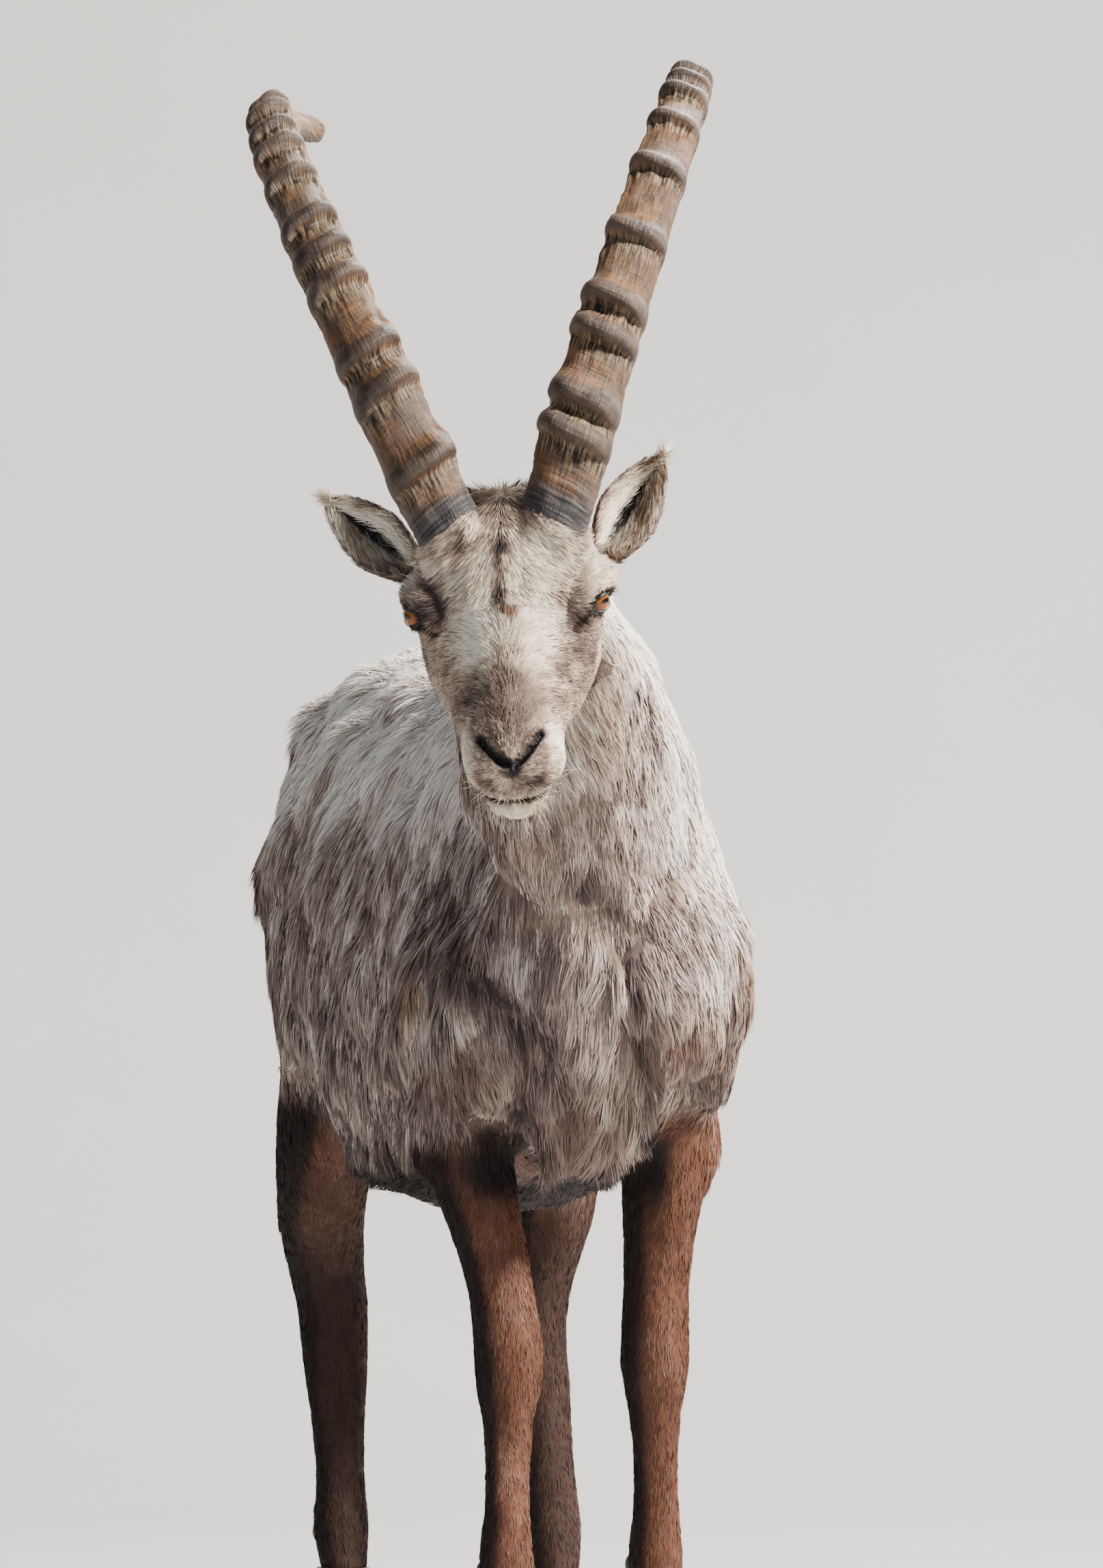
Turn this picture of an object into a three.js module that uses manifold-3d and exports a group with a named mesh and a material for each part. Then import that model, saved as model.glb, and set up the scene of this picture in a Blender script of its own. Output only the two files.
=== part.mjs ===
// An adult male alpine ibex as a still, life-size model, standing on all four feet and looking at the viewer.
// Millimetres, +Z up. The ibex faces -Y, its left side is +X, and its soles stand on z = 0.

import * as THREE from "three";
import Module from "manifold-3d";

const wasm = await Module();
wasm.setup();

// Driving sizes of the animal
const WITHERS = 905;
const CROUP = 884;
const BELLY = 384;
const SHOULDER_HALF = 152;
const RUMP_HALF = 152;
const CHEST_FRONT = -208;
const RUMP_END = 885;
const GAP = 0.35;

// How the head is carried: the point between the eyes, and the turns of the skull
const EYES_MIDDLE = new THREE.Vector3(-135, -400, 909);
const HEAD_PITCH = THREE.MathUtils.degToRad(44);
const HEAD_ROLL = THREE.MathUtils.degToRad(-4.4);
const HEAD_YAW = THREE.MathUtils.degToRad(-13.5);

// Places in the skull's own frame: x to the left, -y towards the nose, z towards the forehead, the poll at 0
const EYE = { side: 72, nose: 112, up: 31, radius: 14.5 };
const HORN = { side: 46, nose: 42, up: 58, sweep: 107, sunk: 14 };
const HORN_HANDS = { left: { splay: 20.1, curve: 399, bow: 3 }, right: { splay: 22.6, curve: 408, bow: 0 } };
const EAR = { side: 78, nose: 20, up: 8, length: 100, half: 27, back: 0.3 };
const EAR_LIFT = { left: 50, right: 38 };

const radians = THREE.MathUtils.degToRad;
const vec = (x, y, z) => new THREE.Vector3(x, y, z);
const LEFT_RIGHT = { left: 1, right: -1 };

// Reads a table of stations at a place along it, with a smooth curve through every column
function along(stations, place) {
  const last = stations.length - 1;
  let i = stations.findIndex((s) => s.at > place) - 1;
  if (i < 0) i = place >= stations[last].at ? last - 1 : 0;
  const a = stations[i];
  const b = stations[i + 1];
  const before = stations[Math.max(i - 1, 0)];
  const after = stations[Math.min(i + 2, last)];
  const span = b.at - a.at;
  const t = (place - a.at) / span;
  const read = {};
  for (const key of Object.keys(a)) {
    const leave = ((b[key] - before[key]) / (b.at - before.at || 1)) * span;
    const arrive = ((after[key] - a[key]) / (after.at - a.at || 1)) * span;
    read[key] =
      (2 * t ** 3 - 3 * t ** 2 + 1) * a[key] +
      (t ** 3 - 2 * t ** 2 + t) * leave +
      (3 * t ** 2 - 2 * t ** 3) * b[key] +
      (t ** 3 - t ** 2) * arrive;
  }
  return read;
}

// A closed solid from points and triangles, whichever way round the triangles run
function solidFrom(points, triangles) {
  const place = Float32Array.from(points.flatMap((p) => [p.x, p.y, p.z]));
  const build = (list) =>
    new wasm.Manifold(new wasm.Mesh({ numProp: 3, vertProperties: place, triVerts: Uint32Array.from(list) }));
  const solid = build(triangles);
  return solid.volume() > 0 ? solid : build([...triangles].reverse());
}

// A solid skinned over rings of points, closed by a fan at both ends
function loft(rings) {
  const sides = rings[0].length;
  const middle = (ring) => ring.reduce((sum, p) => sum.add(p), vec(0, 0, 0)).divideScalar(sides);
  const points = [...rings.flat(), middle(rings[0]), middle(rings.at(-1))];
  const triangles = [];
  for (let i = 0; i + 1 < rings.length; i++) {
    for (let j = 0; j < sides; j++) {
      const a = i * sides + j;
      const b = i * sides + ((j + 1) % sides);
      triangles.push(a, b, a + sides, b, b + sides, a + sides);
    }
  }
  const end = (rings.length - 1) * sides;
  for (let j = 0; j < sides; j++) {
    const k = (j + 1) % sides;
    triangles.push(j, rings.length * sides, k);
    triangles.push(end + j, end + k, rings.length * sides + 1);
  }
  return solidFrom(points, triangles);
}

// A bent sheet with a thickness, from two grids of points that match one another
function sheet(front, back) {
  const rows = front.length;
  const columns = front[0].length;
  const points = [...front.flat(), ...back.flat()];
  const other = rows * columns;
  const triangles = [];
  const quad = (a, b, c, d) => triangles.push(a, b, c, a, c, d);
  for (let i = 0; i + 1 < rows; i++) {
    for (let j = 0; j + 1 < columns; j++) {
      const a = i * columns + j;
      quad(a, a + 1, a + columns + 1, a + columns);
      const b = a + other;
      triangles.push(b, b + columns + 1, b + 1, b, b + columns, b + columns + 1);
    }
  }
  const rim = [];
  for (let j = 0; j < columns - 1; j++) rim.push(j);
  for (let i = 0; i < rows - 1; i++) rim.push(i * columns + columns - 1);
  for (let j = columns - 1; j > 0; j--) rim.push((rows - 1) * columns + j);
  for (let i = rows - 1; i > 0; i--) rim.push(i * columns);
  rim.forEach((a, k) => {
    const b = rim[(k + 1) % rim.length];
    quad(a, a + other, b + other, b);
  });
  return solidFrom(points, triangles);
}

const join = (pieces) => wasm.Manifold.union(pieces);

// Keeps the largest closed surface of a node, which drops loose scraps and fills sealed hollows
function largest(solid) {
  return solid.decompose().reduce((best, piece) => (piece.volume() > best.volume() ? piece : best));
}

// The side of a plane that its normal points to, moved back from it by half the gap
function keepSide(solid, point, normal, gap = GAP) {
  const unit = normal.clone().normalize();
  return solid.trimByPlane(unit.toArray(), unit.dot(point) + gap / 2);
}

// A ball drawn out to three radii, then turned and placed
function ball(radii, place, across = 16, up = 10) {
  const rings = [];
  for (let i = 0; i < up - 1; i++) {
    const polar = ((i + 1) / up) * Math.PI;
    rings.push(
      Array.from({ length: across }, (_, j) => {
        const turn = (j / across) * 2 * Math.PI;
        return vec(
          radii.x * Math.sin(polar) * Math.cos(turn),
          radii.y * Math.sin(polar) * Math.sin(turn),
          radii.z * Math.cos(polar),
        ).applyMatrix4(place);
      }),
    );
  }
  return loft(rings);
}

const placed = (x, y, z, tiltX = 0, tiltY = 0, turn = 0) =>
  new THREE.Matrix4().compose(
    vec(x, y, z),
    new THREE.Quaternion().setFromEuler(new THREE.Euler(tiltX, tiltY, turn, "ZYX")),
    vec(1, 1, 1),
  );

// The skull's place in the standing animal
const headTurn = new THREE.Euler(HEAD_PITCH, HEAD_ROLL, HEAD_YAW, "ZYX");
const headOrigin = vec(0, -EYE.nose, EYE.up).applyEuler(headTurn).negate().add(EYES_MIDDLE);
const headPlace = new THREE.Matrix4().compose(
  headOrigin,
  new THREE.Quaternion().setFromEuler(headTurn),
  vec(1, 1, 1),
);
const inHead = (side, nose, up) => vec(side, -nose, up).applyMatrix4(headPlace);

// Torso

// Cross-sections from the chest to the rump: top, bottom and half width of the coat's outline,
// the height of the widest place, and how square the back is
const TORSO = [
  { at: CHEST_FRONT, top: 650, bottom: 592, half: 24, widest: 618, square: 1.9 },
  { at: CHEST_FRONT + 9, top: 708, bottom: 548, half: 64, widest: 616, square: 1.9 },
  { at: -180, top: 765, bottom: 505, half: 96, widest: 615, square: 1.8 },
  { at: -120, top: 822, bottom: 462, half: 128, widest: 610, square: 1.7 },
  { at: -30, top: 880, bottom: 440, half: SHOULDER_HALF - 5, widest: 610, square: 1.55 },
  { at: 60, top: WITHERS, bottom: 432, half: SHOULDER_HALF, widest: 615, square: 1.55 },
  { at: 180, top: WITHERS - 12, bottom: 410, half: SHOULDER_HALF - 2, widest: 620, square: 1.75 },
  { at: 330, top: CROUP - 12, bottom: BELLY + 2, half: 164, widest: 615, square: 1.95 },
  { at: 480, top: CROUP - 10, bottom: BELLY, half: 165, widest: 620, square: 2.05 },
  { at: 620, top: CROUP, bottom: BELLY + 26, half: 157, widest: 645, square: 2.1 },
  { at: 740, top: CROUP - 4, bottom: 480, half: RUMP_HALF, widest: 665, square: 2.1 },
  { at: 815, top: 858, bottom: 540, half: 132, widest: 680, square: 2.05 },
  { at: 862, top: 822, bottom: 600, half: 98, widest: 700, square: 2 },
  { at: RUMP_END, top: 775, bottom: 655, half: 52, widest: 715, square: 2 },
];

// A point of the torso's outline: place along Y, and turn around from +X over the back
function torsoPoint(place, turn, grow = 0) {
  const s = along(TORSO, place);
  const up = Math.sin(turn);
  const out = Math.cos(turn);
  const square = up > 0 ? s.square : 2.2;
  const height = (up > 0 ? s.top - s.widest : s.widest - s.bottom) + grow;
  return vec(
    (s.half + grow) * Math.sign(out) * Math.abs(out) ** (2 / square),
    place,
    s.widest + height * Math.sign(up) * Math.abs(up) ** (2 / square),
  );
}

function torsoCore(grow = 0) {
  const rings = [];
  const steps = 18;
  const sides = 19;
  for (let i = 0; i <= steps; i++) {
    const even = i / steps;
    const eased = (1 - Math.cos(Math.PI * even)) / 2;
    const place = THREE.MathUtils.lerp(CHEST_FRONT, RUMP_END, 0.3 * even + 0.7 * eased);
    rings.push(Array.from({ length: sides }, (_, j) => torsoPoint(place, (j / sides) * 2 * Math.PI, grow)));
  }
  return loft(rings);
}

// Legs

// Level cross-sections from the top down: how far in from the sole's middle the leg's middle lies,
// across and back, and its half widths across and fore-and-aft
const FORELEG = [
  { at: 48, across: 0, back: -3, half: 21, deep: 26 },
  { at: 72, across: 0, back: 4, half: 23, deep: 27 },
  { at: 98, across: 0, back: 9, half: 25, deep: 29 },
  { at: 126, across: 0, back: 6, half: 21, deep: 24 },
  { at: 165, across: 0, back: 3, half: 20, deep: 22 },
  { at: 215, across: 0, back: 2, half: 23, deep: 25 },
  { at: 250, across: 0, back: 0, half: 30, deep: 32 },
  { at: 282, across: 0, back: 0, half: 31, deep: 33 },
  { at: 318, across: 0, back: 3, half: 29, deep: 31 },
  { at: 370, across: 1, back: 8, half: 32, deep: 37 },
  { at: 430, across: 3, back: 13, half: 39, deep: 48 },
  { at: 490, across: 5, back: 15, half: 44, deep: 60 },
  { at: 570, across: 6, back: 12, half: 46, deep: 70 },
  { at: 640, across: 0, back: 5, half: 40, deep: 66 },
];

const HINDLEG = [
  { at: 48, across: 0, back: -4, half: 21, deep: 26 },
  { at: 72, across: 0, back: 3, half: 24, deep: 28 },
  { at: 98, across: 0, back: 10, half: 26, deep: 30 },
  { at: 126, across: 0, back: 13, half: 23, deep: 25 },
  { at: 175, across: 0, back: 20, half: 24, deep: 25 },
  { at: 220, across: 0, back: 28, half: 29, deep: 30 },
  { at: 258, across: 0, back: 36, half: 31, deep: 36 },
  { at: 292, across: 1, back: 42, half: 33, deep: 43 },
  { at: 325, across: 7, back: 40, half: 35, deep: 47 },
  { at: 370, across: 14, back: 16, half: 40, deep: 54 },
  { at: 425, across: 14, back: -16, half: 43, deep: 74 },
  { at: 490, across: 13, back: -38, half: 45, deep: 102 },
  { at: 570, across: 15, back: -42, half: 54, deep: 122 },
  { at: 660, across: 15, back: -30, half: 58, deep: 120 },
  { at: 740, across: 0, back: -25, half: 48, deep: 95 },
];

// Each leg: where its sole stands, where its knee or hock is, where it enters the body, the height
// at which it leaves the coat of the body, and the height of the joint
const LEGS = {
  fore_left: {
    side: 1, foot: { x: 78, y: 40 }, knee: { x: 75, y: 36 }, top: { x: 84, y: 14 },
    shape: FORELEG, leaves: 466, joint: 262,
  },
  fore_right: {
    side: -1, foot: { x: -78, y: -96 }, knee: { x: -72, y: -66 }, top: { x: -106, y: -12 },
    shape: FORELEG, leaves: 466, joint: 262,
  },
  hind_left: {
    side: 1, foot: { x: 105, y: 668 }, knee: { x: 90, y: 668 }, top: { x: 88, y: 702 },
    shape: HINDLEG, leaves: 452, joint: 292,
  },
  hind_right: {
    side: -1, foot: { x: -66, y: 798 }, knee: { x: -69, y: 790 }, top: { x: -88, y: 722 },
    shape: HINDLEG, leaves: 452, joint: 292,
  },
};
const FETLOCK_HEIGHT = 100;
const LEG_TOP_HEIGHT = 540;

function legRing(leg, height, grow = 0) {
  const s = along(leg.shape, height);
  const toKnee = THREE.MathUtils.smoothstep(height, FETLOCK_HEIGHT, leg.joint);
  const toTop = THREE.MathUtils.smoothstep(height, leg.joint, LEG_TOP_HEIGHT);
  const line = (axis) =>
    THREE.MathUtils.lerp(THREE.MathUtils.lerp(leg.foot[axis], leg.knee[axis], toKnee), leg.top[axis], toTop);
  const x = line("x") + leg.side * s.across;
  const y = line("y") + s.back;
  return Array.from({ length: 10 }, (_, j) => {
    const turn = ((j + 0.5) / 10) * 2 * Math.PI;
    return vec(x + (s.half + grow) * Math.cos(turn), y + (s.deep + grow) * Math.sin(turn), height);
  });
}

function legSolid(leg, from, to, steps, grow = 0) {
  const rings = [];
  for (let i = 0; i <= steps; i++) {
    rings.push(legRing(leg, THREE.MathUtils.lerp(from, to, i / steps), grow));
  }
  if (grow) rings.at(-1).forEach((p) => p.setZ(to + GAP));
  return loft(rings);
}

const upperLeg = (leg, grow = 0) => legSolid(leg, leg.joint + GAP, leg.leaves - GAP, 6, grow);

// Feet

const CLAW = { half: 12.5, apart: 14.5, toe: 47, heel: 24, height: 47, splay: 4 };

// One claw of a cloven hoof: a flat sole, a sloping front and a low heel
function claw(leg, side) {
  const rings = [];
  for (const [height, long, wide] of [[0, 1, 1], [16, 0.94, 0.99], [CLAW.height - 0.3, 0.62, 0.84]]) {
    rings.push(
      Array.from({ length: 12 }, (_, j) => {
        const turn = ((j + 0.5) / 12) * 2 * Math.PI;
        const ahead = Math.sin(turn) < 0;
        const reach = ahead ? CLAW.toe * long : CLAW.heel * (0.7 + 0.3 * long);
        const narrow = ahead ? 1 - 0.35 * Math.abs(Math.sin(turn)) ** 3 : 1;
        const across = side * CLAW.apart + CLAW.half * wide * narrow * Math.cos(turn);
        const forward = reach * Math.sin(turn);
        const splay = (side * CLAW.splay * -forward) / CLAW.toe;
        return vec(leg.foot.x + across + Math.max(splay * side, 0) * side, leg.foot.y + forward, height);
      }),
    );
  }
  return loft(rings);
}

function dewclaw(leg, side, grow = 0) {
  const size = vec(8 + grow, 9 + grow, 13 + grow);
  const fetlock = along(leg.shape, 88);
  return ball(size, placed(leg.foot.x + side * 14, leg.foot.y + fetlock.back + fetlock.deep - 1, 84), 8, 5);
}

// Neck

// The neck's middle line, and its half widths across and from throat to crest
const neckLine = new THREE.CatmullRomCurve3([
  vec(4, 30, 668),
  vec(-12, -82, 742),
  vec(-50, -196, 816),
  inHead(0, 42, -22),
  inHead(0, 84, -2),
]);
const NECK = [
  { at: 0, half: 132, deep: 204 },
  { at: 0.25, half: 116, deep: 176 },
  { at: 0.5, half: 92, deep: 130 },
  { at: 0.78, half: 73, deep: 91 },
  { at: 1, half: 70, deep: 80 },
];
const CREST_NARROWER = 0.24;

function neckPoint(place, turn, grow = 0) {
  const s = along(NECK, place);
  const middle = neckLine.getPointAt(place);
  const ahead = neckLine.getTangentAt(place);
  const across = ahead.clone().cross(vec(0, 0, 1)).normalize().negate();
  const crest = across.clone().cross(ahead).normalize();
  if (crest.z < 0) crest.negate();
  const narrow = 1 - CREST_NARROWER * Math.max(Math.sin(turn), 0);
  return middle
    .addScaledVector(across, (s.half + grow) * narrow * Math.cos(turn))
    .addScaledVector(crest, (s.deep + grow) * Math.sin(turn));
}

function neckCore(grow = 0) {
  const rings = [];
  for (let i = 0; i <= 9; i++) {
    rings.push(Array.from({ length: 20 }, (_, j) => neckPoint(i / 9, (j / 20) * 2 * Math.PI, grow)));
  }
  return loft(rings);
}

// The thin cuts that part the torso, the neck and the head
const shoulderCut = { point: vec(0, 10, 905), normal: vec(0, -0.76, 0.65) };
const throatCut = {
  point: inHead(0, -14, 52),
  normal: inHead(0, -14, 52).sub(inHead(0, 82, -88)).cross(inHead(1, 0, 0).sub(inHead(0, 0, 0))).normalize(),
};
if (throatCut.normal.dot(inHead(0, 1, 0).sub(inHead(0, 0, 0))) < 0) throatCut.normal.negate();

// Head

// Cross-sections of the skull from the poll to the nose: top, bottom, and half widths high, middle and low
const SKULL = [
  { at: -34, top: 38, bottom: -56, high: 34, mid: 52, low: 40 },
  { at: 8, top: 76, bottom: -72, high: 52, mid: 70, low: 52 },
  { at: 45, top: 87, bottom: -84, high: 66, mid: 77, low: 60 },
  { at: 82, top: 84, bottom: -88, high: 66, mid: 77, low: 64 },
  { at: 118, top: 69, bottom: -86, high: 60, mid: 74, low: 62 },
  { at: 152, top: 54, bottom: -74, high: 43, mid: 62, low: 53 },
  { at: 192, top: 43, bottom: -54, high: 31, mid: 49, low: 43 },
  { at: 232, top: 37, bottom: -32, high: 28, mid: 41, low: 37 },
  { at: 256, top: 34, bottom: -27, high: 28, mid: 41, low: 37 },
  { at: 273, top: 28, bottom: -24, high: 25, mid: 38, low: 34 },
  { at: 285, top: 18, bottom: -21, high: 18, mid: 30, low: 28 },
  { at: 292, top: 6, bottom: -18, high: 10, mid: 20, low: 19 },
  { at: 295, top: -5, bottom: -14, high: 3, mid: 8, low: 8 },
];

// The lower jaw, which ends in the chin
const JAW = [
  { at: 60, top: -30, bottom: -98, high: 40, mid: 52, low: 34 },
  { at: 110, top: -30, bottom: -100, high: 42, mid: 54, low: 36 },
  { at: 160, top: -28, bottom: -84, high: 34, mid: 42, low: 28 },
  { at: 205, top: -20, bottom: -68, high: 30, mid: 32, low: 22 },
  { at: 238, top: -18, bottom: -64, high: 29, mid: 31, low: 22 },
  { at: 262, top: -17, bottom: -66, high: 26, mid: 29, low: 21 },
  { at: 278, top: -17, bottom: -58, high: 20, mid: 23, low: 16 },
  { at: 287, top: -20, bottom: -44, high: 9, mid: 12, low: 8 },
];

// A skull ring: a closed curve through the top, the three half widths of both sides, and the bottom
function skullRing(table, place, sides, grow = 0) {
  const s = along(table, place);
  const height = s.top - s.bottom;
  const outline = [
    [0, s.top + grow],
    [s.high + grow, s.top - 0.16 * height],
    [s.mid + grow, s.top - 0.5 * height],
    [s.low + grow, s.bottom + 0.17 * height],
    [0, s.bottom - grow],
    [-s.low - grow, s.bottom + 0.17 * height],
    [-s.mid - grow, s.top - 0.5 * height],
    [-s.high - grow, s.top - 0.16 * height],
  ];
  const curve = new THREE.CatmullRomCurve3(
    outline.map(([x, z]) => vec(x, -place, z)),
    true,
    "centripetal",
  );
  return curve.getSpacedPoints(sides).slice(0, sides);
}

function skullLoft(table, steps, sides) {
  const first = table[0].at;
  const last = table.at(-1).at;
  const rings = [];
  for (let i = 0; i <= steps; i++) {
    const even = i / steps;
    const place = THREE.MathUtils.lerp(first, last, 1 - (1 - even) ** 1.35);
    rings.push(skullRing(table, place, sides));
  }
  return loft(rings);
}

const eyePlace = (side) => placed(side * EYE.side, -EYE.nose, EYE.up);
const eyeball = (side, grow = 0) => {
  const r = EYE.radius + grow;
  return ball(vec(r, r, r), eyePlace(side), 12, 8);
};

// The rim of the socket, which stands out round the eyeball from brow to cheekbone
const rim = (side) => ball(vec(27, 36, 19), placed(side * 61.5, -103, 33), 16, 9);

// The opening between the lids, a cone that widens outwards from the eye and is open to the side
const OPENING = { outward: [0.86, -0.42, 0.3], up: [0, 0.35, 0.94], above: 0.42, below: 0.62, ahead: 1.3, behind: 2.4 };
function opening(side) {
  const [x, y, z] = OPENING.outward;
  const outward = vec(side * x, y, z).normalize();
  const middle = vec(side * EYE.side, -EYE.nose, EYE.up);
  const up = outward.clone().cross(vec(...OPENING.up)).cross(outward).normalize();
  const back = up.clone().cross(outward).multiplyScalar(side);
  const rings = [2, 30].map((reach) =>
    Array.from({ length: 12 }, (_, j) => {
      const turn = (j / 12) * 2 * Math.PI;
      const long = Math.cos(turn) > 0 ? OPENING.behind : OPENING.ahead;
      const high = Math.sin(turn) > 0 ? OPENING.above : OPENING.below;
      return middle
        .clone()
        .addScaledVector(outward, reach)
        .addScaledVector(back, long * reach * Math.cos(turn))
        .addScaledVector(up, high * reach * Math.sin(turn));
    }),
  );
  return loft(rings);
}

// One nostril: a slanting slit that runs up and out from the middle of the nose
function nostril(side) {
  const line = new THREE.CatmullRomCurve3([
    vec(side * 4, -287, 15),
    vec(side * 12, -280, 22),
    vec(side * 21, -270, 28),
    vec(side * 29, -260, 26),
  ]);
  const rings = [];
  for (let i = 0; i <= 5; i++) {
    const t = i / 5;
    const wide = 1.6 + 4 * Math.sin(Math.PI * Math.min(t * 0.85 + 0.12, 1));
    const middle = line.getPointAt(t);
    const ahead = line.getTangentAt(t);
    const out = vec(side * 0.3, -0.72, 0.55).normalize();
    const across = out.clone().cross(ahead).normalize();
    rings.push(
      Array.from({ length: 6 }, (_, j) => {
        const turn = (j / 6) * 2 * Math.PI;
        return middle
          .clone()
          .addScaledVector(across, wide * Math.cos(turn))
          .addScaledVector(out, 13 * Math.sin(turn));
      }),
    );
  }
  return loft(rings);
}

// The slit between the lips, from one corner of the mouth round the front to the other
function mouth() {
  const above = [];
  const below = [];
  for (let i = 0; i <= 10; i++) {
    const turn = THREE.MathUtils.lerp(-Math.PI / 2, Math.PI / 2, i / 10);
    const back = 1 - Math.cos(turn);
    const out = vec(Math.sin(turn), -Math.cos(turn), 0);
    const lip = vec(36 * Math.sin(turn), -292 + 60 * back ** 1.25, -14 - 15 * back);
    const edge = (reach, up) => lip.clone().addScaledVector(out, reach).add(vec(0, 0, up));
    above.push([edge(12, 1.4), edge(-9, 0.6)]);
    below.push([edge(12, -1.4), edge(-9, -0.6)]);
  }
  return sheet(above, below);
}

// Ears

// An ear is a leaf rolled into a cup, with its root sunk in the head
function ear(hand, side, grow = 0) {
  const lift = radians(EAR_LIFT[hand]);
  const root = vec(side * EAR.side, -EAR.nose, EAR.up);
  const axis = vec(side * Math.cos(lift), EAR.back, Math.sin(lift)).applyAxisAngle(vec(1, 0, 0), -HEAD_PITCH).normalize();
  const facing = vec(side * 0.25, -1, 0.15).applyAxisAngle(vec(1, 0, 0), -HEAD_PITCH);
  facing.addScaledVector(axis, -facing.dot(axis)).normalize();
  const across = axis.clone().cross(facing).normalize();
  const front = [];
  const back = [];
  for (let i = 0; i <= 8; i++) {
    const t = i / 8;
    const along = -grow + t * (EAR.length + 2 * grow);
    const leaf = Math.sin(Math.PI * Math.min(0.17 + t * 0.83, 0.995)) ** 0.62;
    const half = EAR.half * leaf * (0.72 + 0.28 * Math.min(t * 2.5, 1));
    const roll = THREE.MathUtils.lerp(2.05, 0.8, Math.min(t * 1.15, 1));
    const bow = half / Math.sin(Math.min(roll, Math.PI / 2));
    const thick = THREE.MathUtils.lerp(3, 1.6, t) + grow;
    const outer = [];
    const inner = [];
    for (let j = 0; j <= 6; j++) {
      const turn = THREE.MathUtils.lerp(-roll, roll, j / 6) * (1 + (grow / bow) * 0.5);
      const middle = root
        .clone()
        .addScaledVector(axis, along - 6 * (1 - Math.cos(turn)) * t)
        .addScaledVector(facing, bow * 0.35 + 10 * t * t - 3);
      const radial = across.clone().multiplyScalar(Math.sin(turn)).addScaledVector(facing, -Math.cos(turn));
      outer.push(middle.clone().addScaledVector(radial, bow + thick));
      inner.push(middle.clone().addScaledVector(radial, bow - thick));
    }
    front.push(inner);
    back.push(outer);
  }
  return sheet(front, back);
}

// Horns

// Cross-sections of a horn from its root: how far its outer and inner edges reach, and half its depth
const HORN_STATIONS = [
  { at: 0, outer: 33, inner: 34, deep: 41 },
  { at: 0.1, outer: 31, inner: 39, deep: 38 },
  { at: 0.2, outer: 27.5, inner: 38, deep: 34.5 },
  { at: 0.3, outer: 24.5, inner: 36, deep: 31 },
  { at: 0.45, outer: 21.5, inner: 32, deep: 28 },
  { at: 0.6, outer: 19.5, inner: 28, deep: 26 },
  { at: 0.75, outer: 17, inner: 23, deep: 22 },
  { at: 0.88, outer: 12.5, inner: 15, deep: 16.5 },
  { at: 0.97, outer: 7.5, inner: 8, deep: 9 },
  { at: 1, outer: 4, inner: 4, deep: 5 },
];

// Where the big ridges stand along each horn, in degrees of its curve, unevenly spaced by the years
const RIDGES = {
  left: [11.8, 15.8, 24.2, 28.6, 38.5, 50, 60.2, 68.6, 75.5, 82, 88.6],
  right: [9.2, 18.9, 24.2, 33.8, 39.2, 44.5, 53.2, 60.4, 66.6, 73.8, 80.6, 87.4],
};

// The smooth places of the horn's root, below its first ridge
const HORN_ROOT = [0.025, 0.055];

const TIP_INWARD = 20;

// The horn's middle line: part of a circle that rises from the brow and sweeps back, with the tip turned in
function hornLine(side, place) {
  const shape = side > 0 ? HORN_HANDS.left : HORN_HANDS.right;
  const splay = radians(shape.splay);
  const rise = vec(side * Math.sin(splay), 0, Math.cos(splay)).applyAxisAngle(vec(1, 0, 0), -HEAD_PITCH);
  const sweep = vec(0, 1, 0).applyAxisAngle(vec(1, 0, 0), -HEAD_PITCH);
  const inward = rise.clone().cross(sweep).normalize();
  if (inward.x * side > 0) inward.negate();
  const turn = radians(HORN.sweep) * place;
  return vec(side * HORN.side, -HORN.nose, HORN.up)
    .addScaledVector(rise, shape.curve * Math.sin(turn) - HORN.sunk)
    .addScaledVector(sweep, shape.curve * (1 - Math.cos(turn)))
    .addScaledVector(inward, TIP_INWARD * place ** 3 - shape.bow * Math.sin(Math.PI * place));
}

function hornRing(side, place, swell, grow = 0) {
  const s = along(HORN_STATIONS, place);
  const step = 0.004;
  const middle = hornLine(side, place);
  const ahead = hornLine(side, place + step).sub(hornLine(side, place - step)).normalize();
  const centre = hornLine(side, place + 0.1).add(hornLine(side, place - 0.1)).multiplyScalar(0.5);
  const front = middle.clone().sub(centre);
  front.addScaledVector(ahead, -front.dot(ahead)).normalize();
  const out = ahead.clone().cross(front).normalize();
  if (out.x * side < 0) out.negate();
  const sides = 11;
  return Array.from({ length: sides }, (_, j) => {
    const turn = ((j + 0.5) / sides) * 2 * Math.PI;
    const forward = Math.sin(turn);
    const sideways = Math.cos(turn);
    const facing = Math.max(forward + 0.35, 0) / 1.35;
    const bump = swell * facing ** 0.6 * (1 - 0.4 * sideways);
    const narrow = 0.82 + 0.18 * forward;
    const half = sideways > 0 ? s.outer : s.inner;
    const wide = (half + grow + bump * 0.7) * narrow * Math.sign(sideways) * Math.abs(sideways) ** 0.7;
    const deep = (s.deep + grow) * Math.sign(forward) * Math.abs(forward) ** 0.8 + bump * Math.max(forward, 0);
    return middle
      .clone()
      .addScaledVector(out, wide)
      .addScaledVector(front, deep)
      .addScaledVector(ahead, -sideways * s.outer * 0.34 * facing);
  });
}

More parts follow.
